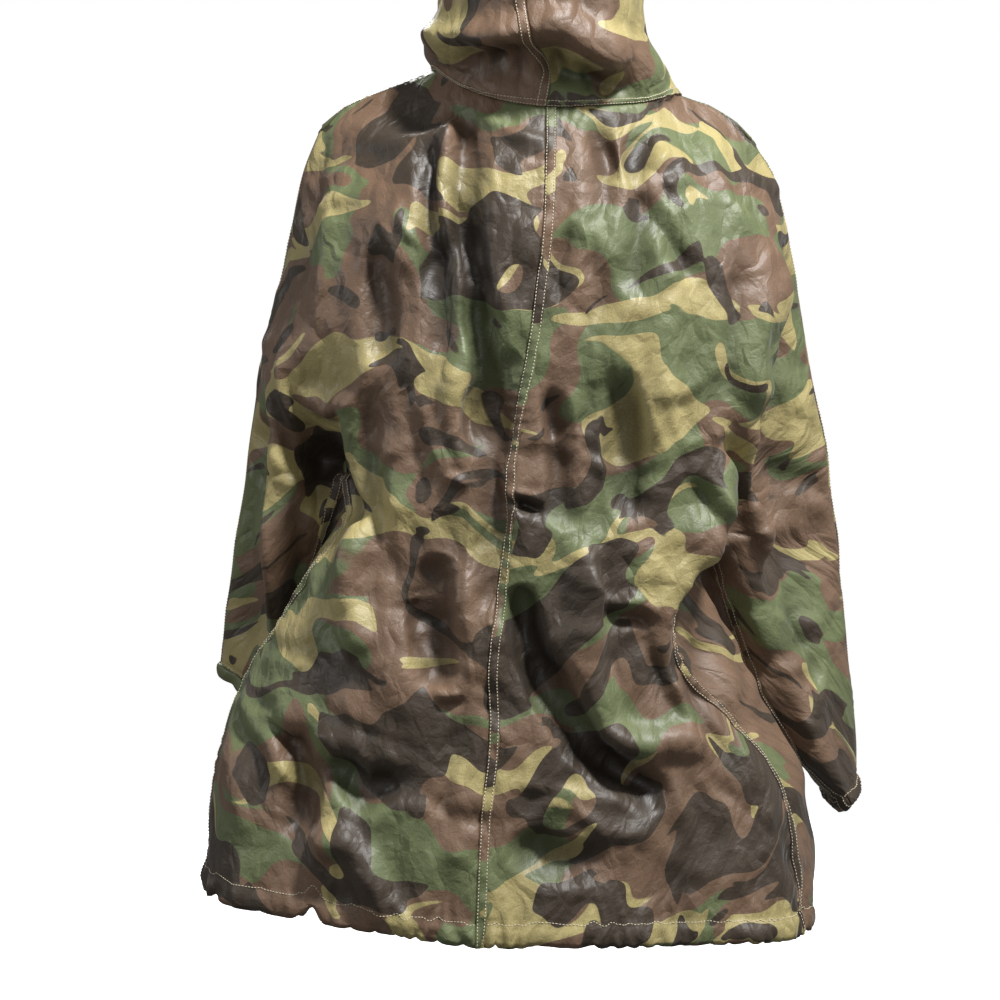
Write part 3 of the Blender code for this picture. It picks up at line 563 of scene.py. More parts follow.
# Places that pull the small creases towards them: x, z, strength
PULLS = {
    "back": [
        (76, 10, 1.0), (-99, 5, 1.0), (207, -372, 1.2), (-162, -436, 1.2), (319, -604, 1.0),
        (60, -1500, 3.0), (60, 600, 3.0), (-280, -850, 0.6), (160, -700, 0.6), (-70, -650, 0.6),
    ],
    "front": [
        (82, 0, 1.0), (-100, 0, 1.0), (207, -372, 1.2), (-162, -436, 1.2), (340, -700, 0.6),
        (40, -1500, 3.0), (40, 600, 3.0), (-280, -850, 0.6),
    ],
}
SCATTER = {"back": (260, 41), "front": (220, 42)}  # small creases: number and seed
HOOD_SCATTER = (40, 77)

# Where the print leans towards one ink: x, z, radius, then more brown than green, more tan
# and more black. The noise of the print makes the shapes.
LEANING_SHARE = 0.6
LEANINGS = {
    "back": [
        (130, -110, 120, 0.16, -0.02, 0.00), (60, -60, 60, 0.14, -0.04, 0.00),
        (20, -230, 60, 0.02, 0.00, 0.00), (-60, -110, 110, -0.16, -0.03, 0.02),
        (-130, -90, 70, -0.14, -0.03, 0.00), (-150, -290, 60, 0.00, 0.14, 0.02),
        (-100, -230, 60, -0.02, 0.08, 0.02), (160, -330, 60, 0.04, 0.10, 0.00),
        (-20, -300, 60, 0.12, 0.02, 0.02), (-110, -460, 80, -0.10, 0.04, 0.02),
        (190, -520, 70, -0.10, 0.04, 0.00), (60, -470, 60, 0.02, 0.04, 0.03),
        (-60, -570, 70, 0.12, 0.00, 0.03), (280, -620, 70, -0.06, 0.08, 0.02),
        (-120, -700, 90, 0.06, 0.04, 0.02), (140, -760, 90, 0.02, 0.08, 0.03),
        (-40, -800, 80, -0.08, 0.03, 0.00), (-200, -800, 70, 0.08, 0.02, 0.02),
    ],
    "front": [],
    "hood": [(20, 60, 70, 0.05, 0.06, 0.03)],
}


class Panel:
    """A sheet of cloth: points, the quads between them, and for each point its place among
    the named points and levels, its place on the flat cloth, and how far the edges are."""

    def __init__(self, name, face, side):
        self.name = name
        self.face = face
        self.side = side
        self.rows = {}
        self.points = np.empty((0, 3))
        self.where = np.empty((0, 2))
        self.flat = np.empty((0, 2))
        self.quads = np.empty((0, 4), int)
        self.reach = {}

    def grid(self, tag, places, across, down, flat, top=None):
        """Adds a grid. Its first row may lie on points that are already there."""
        rows, columns = places.shape[:2]
        skip = 0 if top is None else 1
        ids = np.arange(rows * columns).reshape(rows, columns) + len(self.points) - skip * columns
        if top is not None:
            ids[0] = top
        where = np.stack(np.meshgrid(across, down), axis=2)
        for kind, values in (("points", places), ("where", where), ("flat", flat)):
            new = values[skip:].reshape(-1, values.shape[2])
            setattr(self, kind, np.vstack([getattr(self, kind), new]))
        self.rows[tag] = ids
        self.quads = np.vstack([self.quads, quads_between(ids)])
        return ids

    def measure(self, edge, ids, from_end, axis):
        """Notes each point's distance from an edge of the grid."""
        away = arc(self.points[ids], axis, from_end)
        reach = self.reach.setdefault(edge, np.full(len(self.points), FAR))
        nearer = away < reach[ids]
        reach[ids[nearer]] = away[nearer]

    def values(self):
        """For each point its place, its normal, its place on the cloth, and its lean with the
        painted shade of the troughs.
        """
        return np.hstack([self.points, self.normals, self.cloth, self.lean])


def quads_between(ids):
    corners = [ids[:-1, :-1], ids[1:, :-1], ids[1:, 1:], ids[:-1, 1:]]
    return np.stack(corners, axis=2).reshape(-1, 4)


def grid_faces(rows, columns, start=0):
    return quads_between(np.arange(rows * columns).reshape(rows, columns) + start)


def arc(places, axis, from_end):
    """Length along a grid's rows (axis 1) or columns (axis 0), from one end."""
    steps_between = np.linalg.norm(np.diff(places, axis=axis), axis=2)
    if from_end:
        steps_between = np.flip(steps_between, axis)
    start = np.zeros_like(np.take(steps_between, [0], axis=axis))
    length = np.concatenate([start, np.cumsum(steps_between, axis=axis)], axis=axis)
    return np.flip(length, axis) if from_end else length


def steps(first, last, spans):
    return np.linspace(first, last, (last - first) * spans + 1)


def named_places(spans, first=0):
    """Each column's place among the named points, which are counted from the centre seam."""
    places = [first + k + step / count for k, count in enumerate(spans) for step in range(count)]
    return np.array(places + [first + len(spans)])


def step_up(value, low, high):
    share = np.clip((value - low) / (high - low), 0, 1)
    return share * share * (3 - 2 * share)


def distance_to(path, x, z):
    """The distance of each x, z from a path of three points, and the share of its length."""
    path = np.array(path, float).reshape(3, 2)
    runs = np.diff(path, axis=0)
    lengths = np.linalg.norm(runs, axis=1)
    nearest, share_along = np.full(len(x), FAR), np.zeros(len(x))
    for k in (0, 1):
        dx, dz = x - path[k, 0], z - path[k, 1]
        share = np.clip((dx * runs[k, 0] + dz * runs[k, 1]) / lengths[k] ** 2, 0, 1)
        off = np.hypot(dx - share * runs[k, 0], dz - share * runs[k, 1])
        nearer = off < nearest
        nearest[nearer] = off[nearer]
        share_along[nearer] = ((share * lengths[k] + k * lengths[0]) / lengths.sum())[nearer]
    return nearest, share_along


def waves(places, size, seed, count=9):
    """A smooth uneven field of unit strength, with features about as long as size."""
    numbers = np.random.default_rng(seed)
    total = np.zeros(len(places))
    for _ in range(count):
        direction = numbers.normal(size=places.shape[1])
        direction *= 2 * math.pi / (size * numbers.uniform(0.7, 1.6) * np.linalg.norm(direction))
        total += np.sin(places @ direction + numbers.uniform(0, 2 * math.pi))
    return total / math.sqrt(count / 2)


def zones(panel):
    """How far each point belongs to the body and to the sleeve, from its place among the named
    points across and the levels down."""
    across, level = panel.where.T
    sleeve = step_up(across, 5.3, 6.0) * (1 - step_up(across, 7.0, 8.0))
    return {
        "body": (1 - step_up(across, 3.6, 4.6)) * step_up(level, 0, 0.8),
        "sleeve": sleeve * step_up(level, 1, 2),
    }


def fold_body(panel):
    """Lays the main folds of the CAD into a panel."""
    points = panel.points
    height = np.zeros(len(points))
    for zone, share in zones(panel).items():
        for *path, half_width, high in FOLDS[panel.face, zone]:
            off = distance_to(path, points[:, 0], points[:, 2])[0] / half_width
            height += share * high * (1 - np.clip(off, 0, 1) ** 2) ** 2
    forth = 1 if panel.face == "back" else -1
    lean = np.stack([points[:, 0] * 0.0012, np.full(len(points), forth), np.zeros(len(points))], 1)
    panel.points = points + lean * height[:, None] * FOLD_DEPTH
    panel.fold_height = height * FOLD_DEPTH


def neck_ring(side):
    """The neck seam of one side, from the centre back to the centre front."""
    there = outwards(NECK[other(side)], other(side))
    ends = np.array([CENTRE_BACK[0], CENTRE_FRONT[0]], float)
    points = [ends[0], *outwards(NECK[side], side), ends[1]]
    return smooth_curve(points, NECK_SPANS, there[0], there[-1])


def top_row(face, side):
    """The upper edge of a panel: its part of the neck ring, then the shoulder seam."""
    ring = neck_ring(side)
    turn = sum(SPANS["back"][0][:3])
    neck = ring[: turn + 1] if face == "back" else ring[: turn - 1 : -1]
    points = [neck[-1], *outwards(SHOULDER[side], side)]
    return np.vstack([neck[:-1], smooth_curve(points, SPANS[face][0][3:] + SPANS[face][1])])


def flat_places(places, start):
    """Places on the flat cloth: along the rows, and down the columns from a start height."""
    return np.stack([arc(places, 1, False), arc(places, 0, False) + start], axis=2)


def part_lines(named, key, part, below):
    """Sections of a panel's body, part 0, or sleeve, part 1, above or below the parting."""
    levels = named[key][part]
    first, last = (APEX, len(levels) - 1) if below else (0, APEX)
    spans = (BODY_SPANS, SLEEVE_SPANS)[part] if below else UPPER_SPANS
    return between_levels(levels, first, last, spans, (5, 0)[part])


def body_panel(face, side, named):
    """One sheet above the parting, and a body strip and a sleeve strip below it."""
    own, past_centre = (face, side), (face, other(side))
    past_seam = ("front" if face == "back" else "back", side)
    body_spans, sleeve_spans = SPANS[face]
    upper = [top_row(face, side)]
    lines = zip(*(part_lines(named, key, part, False) for key, part in (
        (own, 0), (own, 1), (past_centre, 0), (past_seam, 1))))
    for body, sleeve, before, after in list(lines)[1:]:
        points = np.vstack([body, sleeve[1:]])
        upper.append(smooth_curve(points, body_spans + sleeve_spans, before[1], after[2]))
    upper = np.array(upper)
    strip = np.array([
        smooth_curve(body, body_spans, before[1], after[4]) for body, before, after in zip(
            *(part_lines(named, key, 0, True) for key in (own, past_centre, past_seam)))])
    tube = np.array([
        smooth_curve(sleeve, sleeve_spans, past[1], past[2]) for sleeve, past in zip(
            *(part_lines(named, key, 1, True) for key in (own, past_seam)))])
    middle = sum(body_spans)
    strip[0] = upper[-1][: middle + 1]
    tube[0] = upper[-1][middle:]

    panel = Panel(f"{face}_{side}", face, side)
    across = named_places(body_spans + sleeve_spans)
    top_heights = upper[0, 0, 2] - upper[0, :, 2]
    flat = flat_places(upper, top_heights)
    flat_strip = flat_places(strip, flat[-1, : middle + 1, 1])
    flat_tube = flat_places(tube, flat[-1, middle:, 1])
    flat_tube[:, :, 0] += flat[-1, middle, 0]
    ids = panel.grid("upper", upper, across, steps(0, APEX, UPPER_SPANS), flat)
    low_body = panel.grid(
        "strip", strip, across[: middle + 1],
        steps(APEX, len(named[own][0]) - 1, BODY_SPANS), flat_strip, ids[-1, : middle + 1])
    low_sleeve = panel.grid(
        "tube", tube, across[middle:],
        steps(APEX, len(named[own][1]) - 1, SLEEVE_SPANS), flat_tube, ids[-1, middle:])
    panel.apex = ids[-1, middle]
    fold_body(panel)
    neck_columns = sum(body_spans[:3])
    for edge, part, from_end, axis in (
            ("centre", ids[:, :middle], False, 1), ("centre", low_body, False, 1),
            ("over", ids[:, middle:], True, 1), ("over", low_sleeve, True, 1),
            ("side", low_body, True, 1), ("under", low_sleeve, False, 1),
            ("hem", low_body, True, 0), ("cuff", low_sleeve, True, 0),
            ("neck", ids[:NEAR_EDGE, : neck_columns + 1], False, 0),
            ("shoulder", ids[:NEAR_EDGE, neck_columns:], False, 0)):
        panel.measure(edge, part, from_end, axis)
    if (face == "back") == (side == "left"):
        panel.quads = panel.quads[:, ::-1]
    return panel


def hood_sections(side):
    """Named sections of half the hood, from the centre seam round the side to the face edge."""
    sections = []
    for seam_x, row, widest in zip(HOOD_SEAM_X[1:], HOOD, HOOD_WIDEST[side]):
        (back_y, back_z), edge = row[:2], row[2:]
        width, side_y, side_z = widest
        behind = [mixed((0, side_y, back_z), (width, back_y, side_z), np.array(share))
                  for share in HOOD_BEHIND]
        before = [mixed(widest, edge, np.array(share)) for share in HOOD_BEFORE]
        round_side = outwards([*behind, widest, *before, edge], side)
        sections.append([(seam_x, back_y, back_z), *round_side])
    return sections


def mirrored(point, middle_x):
    return np.array((2 * middle_x - point[0], point[1], point[2]))


def hood_panel(side):
    """Half of the hood, from the neck seam over the crown."""
    ring_points = [CENTRE_BACK[0], *outwards(NECK[side], side), CENTRE_FRONT[0]]
    seam_x = HOOD_SEAM_X[-1]
    crown = [(seam_x, y, z) for y, z in CROWN]
    levels = np.array([ring_points, *hood_sections(side), crown], float)
    columns = []
    for column in range(levels.shape[1]):
        line = levels[:, column]
        after = mirrored(line[-2], seam_x)
        columns.append(smooth_curve(line, [HOOD_SPANS] * (len(line) - 1), None, after))
    rows = np.stack(columns, axis=1)
    made = [smooth_curve(row, NECK_SPANS, mirrored(row[1], row[0][0])) for row in rows[1:]]
    made = np.array([neck_ring(side), *made])
    panel = Panel(f"hood_{side}", "hood", side)
    panel.fold_height = 0.0
    flat = flat_places(made, np.zeros(made.shape[1]))
    flat[:, :, 1] *= -1
    down = steps(0, len(levels) - 1, HOOD_SPANS)
    ids = panel.grid("hood", made, named_places(NECK_SPANS), down, flat)
    for edge, from_end, axis in (("neck", False, 0), ("centre", False, 1), ("face", True, 1)):
        panel.measure(edge, ids, from_end, axis)
    if side == "right":
        panel.quads = panel.quads[:, ::-1]
    return panel


def skin_ids(panels):
    """Numbers for the points of all panels as one skin: points that meet share a number."""
    places = np.vstack([panel.points for panel in panels])
    _, merged = np.unique(np.round(places, 3), axis=0, return_inverse=True)
    ends = np.cumsum([len(panel.points) for panel in panels])[:-1]
    return np.split(merged.reshape(-1), ends)


def shared_normals(panels, ids):
    """Normals of all panels as one skin, so that neighbours agree along their seams."""
    total = np.zeros((max(part.max() for part in ids) + 1, 3))
    for panel, part in zip(panels, ids):
        a, b, c, d = (panel.points[panel.quads[:, k]] for k in range(4))
        normal = np.cross(c - a, d - b)
        for k in range(4):
            np.add.at(total, part[panel.quads[:, k]], normal)
    total = unit(total)
    for panel, part in zip(panels, ids):
        panel.normals = total[part]
        if hasattr(panel, "apex"):
            panel.normals[panel.apex] = outwards(APEX_NORMAL[panel.side], panel.side)


def close_seams(panels, ids):
    """Puts points that share a number in their mean place."""
    total = np.zeros((max(part.max() for part in ids) + 1, 4))
    for panel, part in zip(panels, ids):
        np.add.at(total, part, np.hstack([panel.points, np.ones((len(part), 1))]))
    for panel, part in zip(panels, ids):
        panel.points = total[part, :3] / total[part, 3:]


def smooth_folded(panels, ids, rounds=30, upright=0.18, moved=0.6):
    """Evens out the few faces that the relief has folded over, on the skin as a whole."""
    count = max(part.max() for part in ids) + 1
    points, outward = np.zeros((count, 3)), np.zeros((count, 3))
    for panel, part in zip(panels, ids):
        points[part] = panel.points
        outward[part] = panel.smooth_normals
    quads = np.vstack([part[panel.quads] for panel, part in zip(panels, ids)])
    edges = np.sort(np.vstack([quads[:, (k, (k + 1) % 4)] for k in range(4)]), axis=1)
    edges, uses = np.unique(edges, axis=0, return_counts=True)
    held = np.zeros(count, bool)
    held[edges[uses == 1]] = True
    both = np.vstack([edges, edges[:, ::-1]])
    neighbours = np.maximum(np.bincount(both[:, 0], minlength=count), 1)[:, None]
    for _ in range(rounds):
        a, b, c, d = (points[quads[:, k]] for k in range(4))
        normal = unit(np.cross(c - a, d - b))
        folded = (normal * outward[quads].mean(axis=1)).sum(axis=1) < upright
        loose = np.zeros(count, bool)
        loose[quads[folded]] = True
        loose[both[loose[both[:, 1]], 0]] = True
        loose &= ~held
        mean = np.zeros((count, 3))
        np.add.at(mean, both[:, 0], points[both[:, 1]])
        points[loose] = ((1 - moved) * points + moved * mean / neighbours)[loose]
    for panel, part in zip(panels, ids):
        panel.points = points[part]


def crease_profile(off, sharpness):
    """Height across a crease, for a distance in half widths: soft, or with flat sides."""
    soft = (1 - np.clip(off / 1.7, 0, 1) ** 2) ** 2
    tip = np.sqrt(off**2 + 0.03) - 0.17
    flat_sided = np.clip(1 - tip / 2.0, 0, 1) ** 1.25
    return soft + (flat_sided - soft) * sharpness


def lay_crease(height, x, z, share, row, depth):
    """Adds one crease, a row of the tables, to the heights of the points near it."""
    *path, half_width, high, sharpness = row
    margin = 4 * half_width
    near = np.flatnonzero(
        (x > min(path[::2]) - margin) & (x < max(path[::2]) + margin)
        & (z > min(path[1::2]) - margin) & (z < max(path[1::2]) + margin) & (share > 0))
    if len(near) == 0:
        return
    off, along_path = distance_to(path, x[near], z[near])
    fade = np.clip(4 * along_path * (1 - along_path) + 0.08, 0, 1) ** 0.7
    profile = crease_profile(off / half_width, sharpness)
    height[near] += share[near] * (high * depth) * fade * profile


def scattered_creases(face):
    """Small drag lines, which run towards the places that pull the cloth."""
    many, seed = SCATTER[face]
    numbers = np.random.default_rng(seed)
    pulls = np.array(PULLS[face], float)
    made = []
    for _ in range(many):
        x, z = numbers.uniform(-350, 350), numbers.uniform(-850, 0)
        away = pulls[:, :2] - (x, z)
        weights = pulls[:, 2] / (np.linalg.norm(away, axis=1) + 40)
        pull = away[numbers.choice(len(pulls), p=weights / weights.sum())]
        angle = math.atan2(pull[1], pull[0]) + numbers.normal(0, 0.16)
        half = numbers.uniform(18, 60) * numbers.uniform(1.0, 1.8)
        bend = numbers.normal(0, 0.12) * half
        dx, dz = math.cos(angle) * half, math.sin(angle) * half
        width = numbers.uniform(4.5, 8.0) * numbers.uniform(1.0, 1.8)
        height = numbers.choice((-1, 1)) * numbers.uniform(0.5, 1.0) * width * 0.42
        made.append((x - dx, z - dz, x - dz / half * bend, z + dx / half * bend, x + dx, z + dz,
                     width, height, numbers.uniform(0.3, 0.9)))
    return made


def crease_height(panel):
    """The height of the finer creases over the main folds."""
    points = panel.points
    x = points[:, 0] + 5 * waves(points, 90, 3)
    z = points[:, 2] + 5 * waves(points, 90, 4)
    height = np.zeros(len(points))
    if panel.face == "hood":
        share = step_up(panel.reach["neck"], 0, 25)
        sets = [(share, 1, HOOD_CREASES + scattered_hood_creases())]
    else:
        seams = [panel.reach[edge] for edge in ("side", "under", "over", "shoulder")]
        held = step_up(np.min(seams, axis=0), 0, 16)
        share = step_up(panel.where[:, 1], 0, 0.5) * held
        on_body = zones(panel)["body"] * held
        sets = [
            (on_body, BODY_CREASE_DEPTH, CREASES.get((panel.face, "body"), [])),
            (share, SMALL_CREASE_DEPTH, CREASES[panel.face, "all"]),
            (share, 1, scattered_creases(panel.face)),
        ]
    for share, depth, rows in sets:
        for row in rows:
            lay_crease(height, x, z, share, row, depth)
    return height


def scattered_hood_creases():
    """Small creases of the hood, which mostly run round it."""
    many, seed = HOOD_SCATTER
    numbers = np.random.default_rng(seed)
    made = []
    for _ in range(many):
        x, z = numbers.uniform(-120, 130), numbers.uniform(20, 330)
        angle = numbers.normal(0.15, 0.5) + (0.7 if z > 180 else 0)
        half = numbers.uniform(15, 50)
        dx, dz = math.cos(angle) * half, math.sin(angle) * half
        width = numbers.uniform(4.0, 8.0)
        made.append((x - dx, z - dz, x, z + numbers.normal(0, 4), x + dx, z + dz, width,
                     numbers.choice((-1, 1)) * numbers.uniform(0.4, 0.9) * width * 0.3, 0.6))
    return made


def relief(panel):
    """The height of everything that the coarse folds leave out. The last number of each call
    of waves is its seed."""
    far = np.full(len(panel.points), FAR)
    places = panel.points
    height = crease_height(panel)
    long_down = places * (1.0, 1.0, 0.45)
    height += waves(long_down, 60, 11) * 1.3 + waves(long_down, 26, 12) * 0.45
    wander, uneven = 2 * waves(places, 50, 21), 0.7 + 0.5 * waves(places, 90, 22)
    for edge, axis, wave, strength in PUCKERS:
        reach = panel.reach.get(edge, far)
        phase = places[:, axis] / wave * 2 * math.pi + wander
        height += strength * np.sin(phase) * bell(reach, PUCKER_REACH) * uneven
        height -= SEAM_GROOVE * bell(reach, SEAM_GROOVE_WIDTH)
    wander, uneven = 3 * waves(places, 70, 31), 0.8 + 0.4 * waves(places, 80, 32)
    for edge, high, wave in CASINGS:
        reach = panel.reach.get(edge, far)
        phase = (places[:, 0] + places[:, 1]) / wave * 2 * math.pi + wander
        height += np.sin(phase) * uneven * GATHER_HEIGHT * bell(reach, high * 1.7)
        height += CASING_BULGE * np.exp(-(((reach - high * 0.5) / (high * 0.42)) ** 4))
        height -= CASING_GROOVE * bell(reach - high, CASING_GROOVE_WIDTH)
    ridge = np.minimum(panel.reach.get("over", far), panel.reach.get("shoulder", far))
    return np.maximum(height, -0.2 - 0.25 * ridge)


def scallops(panel):
    """How far the gathers of the hem's casing lift its edge."""
    x, y = panel.points[:, 0], panel.points[:, 1]
    level = panel.points * (1, 1, 0)
    phase = (x + y * 0.8) / SCALLOP * math.pi + 1.6 * waves(level, 110, 51)
    high = 3.4 + 1.4 * waves(level, 70, 52)
    notch = NOTCH_HEIGHT * bell(x - NOTCH_X, NOTCH_WIDTH) * (y > 0)
    rise = high * (1 - np.abs(np.sin(phase))) ** 2 + notch
    return rise * bell(panel.reach["hem"], SCALLOP_REACH)


def lean_of(panel):
    """How the print leans at each point: brown over green, tan, black."""
    x, z = panel.points[:, 0], panel.points[:, 2]
    total = np.zeros((len(x), 3))
    for at_x, at_z, radius, brown, tan, black in LEANINGS[panel.face]:
        near = np.exp(-((x - at_x) ** 2 + (z - at_z) ** 2) / (2 * radius**2))
        total += near[:, None] * np.array((brown, tan, black)) * LEANING_SHARE
    return total


def boundary_of(quads):
    """The sheet's outer edges, in the direction of the quads that hold them."""
    edges = np.vstack([quads[:, (k, (k + 1) % 4)] for k in range(4)])
    size = int(quads.max()) + 1
    forth = edges[:, 0].astype(np.int64) * size + edges[:, 1]
    back = edges[:, 1].astype(np.int64) * size + edges[:, 0]
    return edges[~np.isin(forth, back)]


def put_in_scene(name, data):
    obj = bpy.data.objects.new(name, data)
    bpy.context.scene.collection.objects.link(obj)
    return obj


def new_object(name, points, faces, materials, which=None):
    """A smooth mesh from points in millimetres. which holds the number of each face's
    material."""
    mesh = bpy.data.meshes.new(name)
    mesh.from_pydata((np.asarray(points) * MM).tolist(), [], [list(map(int, f)) for f in faces])
    for made in materials:
        mesh.materials.append(made)
    if which is not None:
        mesh.polygons.foreach_set("material_index", np.asarray(which, np.int32))
    mesh.shade_smooth()
    return put_in_scene(name, mesh)


def put_on_cloth(mesh, flat, lean):
    """Stores the place on the flat cloth as a UV map, in metres, and the print's lean with the
    painted shade of the hollows."""
    corners = np.empty(len(mesh.loops), np.int32)
    mesh.loops.foreach_get("vertex_index", corners)
    layer = mesh.uv_layers.new(name="cloth")
    layer.data.foreach_set("uv", (flat * MM)[corners].astype(np.float32).ravel())
    leaning = mesh.attributes.new("lean", "FLOAT_COLOR", "POINT")
    # The alpha is one less the painted shade of the troughs
    colours = np.hstack([lean[:, :3] + 0.5, 1 - lean[:, 3:4]])
    leaning.data.foreach_set("color", colours.astype(np.float32).ravel())


def thin_solid(name, outer, inner, quads, turned, cloth, lean, materials, inside=0):
    """A closed sheet between two faces. turned is the order in which the inner face takes the
    corners of a quad, and inside the number of its material."""
    count = len(outer)
    rim = boundary_of(quads)
    rim_quads = np.stack([rim[:, 1], rim[:, 0], rim[:, 0] + count, rim[:, 1] + count], axis=1)
    faces = np.vstack([quads, quads[:, turned] + count, rim_quads])
    which = np.repeat([0, inside, 0], [len(quads), len(quads), len(rim_quads)])
    obj = new_object(name, np.vstack([outer, inner]), faces, materials, which)
    put_on_cloth(obj.data, np.tile(cloth, (2, 1)), np.tile(lean, (2, 1)))
    return obj


def shell(name, panel, materials):
    """A thin shell with the panel's surface as its outer face. Both faces are split along the
    same diagonals, so that they don't cross in steep folds."""
    inner = panel.points - unit(panel.smooth_normals + panel.normals) * CLOTH
    return thin_solid(name, panel.points, inner, panel.quads, (0, 3, 2, 1), panel.cloth,
                      panel.lean, materials, 1)


def lines_from(panel, edge):
    """Rows of point ids that start on an edge of the panel and run away from it."""
    if panel.face == "hood":
        hood = panel.rows["hood"]
        return list({"centre": hood, "neck": hood.T, "face": hood[:, ::-1]}[edge])
    upper, strip, tube = (panel.rows[tag] for tag in ("upper", "strip", "tube"))
    neck = sum(SPANS[panel.face][0][:3])
    lines = {
        "centre": [*upper, *strip[1:]], "over": [*upper[:, ::-1], *tube[1:, ::-1]],
        "side": strip[:, ::-1], "under": tube, "hem": strip[::-1].T, "cuff": tube[::-1].T,
        "neck": upper[:TOP_LINES, : neck + 1].T, "shoulder": upper[:TOP_LINES, neck:].T,
    }
    return list(lines[edge])


def offset_lines(panel, edge, distances, first=0):
    """Points, normals, flat places and leans with the painted shade at distances from an edge,
    along the edge from its line of number first."""
    values = panel.values()
    lines = [values[ids] for ids in lines_from(panel, edge)[first:]]
    made = np.array([values_at(distances, length_along(line[:, PLACE]), line) for line in lines])
    made = made.transpose(0, 2, 1)
    made[:, :, NORMAL] = unit(made[:, :, NORMAL])
    return made


def stitch_line(panel, edge, distance, lift, first=0):
    """Places and normals of a row of stitches at a distance from an edge."""
    line = offset_lines(panel, edge, [distance], first)[:, 0]
    return line[:, PLACE] + line[:, NORMAL] * lift, line[:, NORMAL]


class Seams:
    """Collects the felled layers and the stitches of the whole parka by panel."""

    def __init__(self):
        self.bands = {}
        self.threads = {}

    def stitch(self, panel, edge, distance, lift=STITCH_LIFT):
        self.threads.setdefault(panel.name, []).append(stitch_line(panel, edge, distance, lift))

    def fell(self, panel, edge, width=FELL, stitches=FELL_STITCHES, shift=FELL_PRINT_SHIFT):
        """A raised layer along an edge, with a row of stitches near each of its borders."""
        inside = np.linspace(BAND_ROUNDING, width - BAND_ROUNDING, 4)
        distances = np.array([0, BAND_BORDER, *inside, width - BAND_BORDER, width])
        raised = BAND_LIFT * np.array([0.6, 1, 1.1, 1.1, 1, 0.6])
        lifts = np.array([BAND_SUNK, *raised, BAND_SUNK])
        lines = offset_lines(panel, edge, distances)
        places = lines[:, :, PLACE] + lines[:, :, NORMAL] * lifts[:, None]
        made = (places, lines[:, :, ON_CLOTH] + shift, lines[:, :, LEAN_AND_PAINTED_SHADE])
        self.bands.setdefault(panel.name, []).append(made)
        self.stitch(panel, edge, stitches[0], FELL_STITCH_LIFTS[0])
        self.stitch(panel, edge, width - stitches[1], FELL_STITCH_LIFTS[1])


def band_object(name, bands, material):
    """All felled layers of a panel as one piece."""
    sizes = [band[0].shape[:2] for band in bands]
    starts = np.cumsum([0] + [rows * columns for rows, columns in sizes])
    faces = [grid_faces(*size, start) for size, start in zip(sizes, starts)]
    points, flat, lean = (
        np.vstack([part.reshape(-1, part.shape[2]) for part in parts]) for parts in zip(*bands))
    obj = new_object(name, points, np.vstack(faces), [material])
    put_on_cloth(obj.data, flat, lean)
    return obj


def stitch_points(places, normals):
    """The corners of each stitch along a line: a short thread that rises from the cloth."""
    length = length_along(places)
    starts = np.arange(1.0, length[-1] - STITCH, PITCH)
    if len(starts) == 0:
        return np.empty((0, 12, 3))
    at = starts[:, None] + np.array([0, 0.5, 1.0]) * STITCH
    middle, normal = (
        np.moveaxis(values_at(at, length, values), 0, 2) for values in (places, normals))
    forth = unit(middle[:, 2] - middle[:, 0])
    beside = unit(np.cross(forth[:, None], normal))
    middle = middle + normal * np.array([-0.25, 0.12, -0.25])[:, None]
    corners = [middle[:, k] + (beside[:, k] * u + normal[:, k] * v) * THREAD
               for k in range(3) for u, v in ((1, 0), (0, 1), (-1, 0), (0, -1))]
    return np.stack(corners, axis=1)


def thread_object(name, lines, material):
    """Rows of stitches as one piece. Each stitch has three rings of four corners."""
    corners = np.vstack([stitch_points(*line) for line in lines])
    around = [(k, (k + 1) % 4) for k in range(4)]
    faces = [(s + a, s + b, s + 4 + b, s + 4 + a) for s in (0, 4) for a, b in around]
    faces += [(3, 2, 1, 0), (8, 9, 10, 11)]
    starts = 12 * np.arange(len(corners))
    all_faces = (np.array(faces) + starts[:, None, None]).reshape(-1, 4)
    return new_object(name, corners.reshape(-1, 3), all_faces, [material])


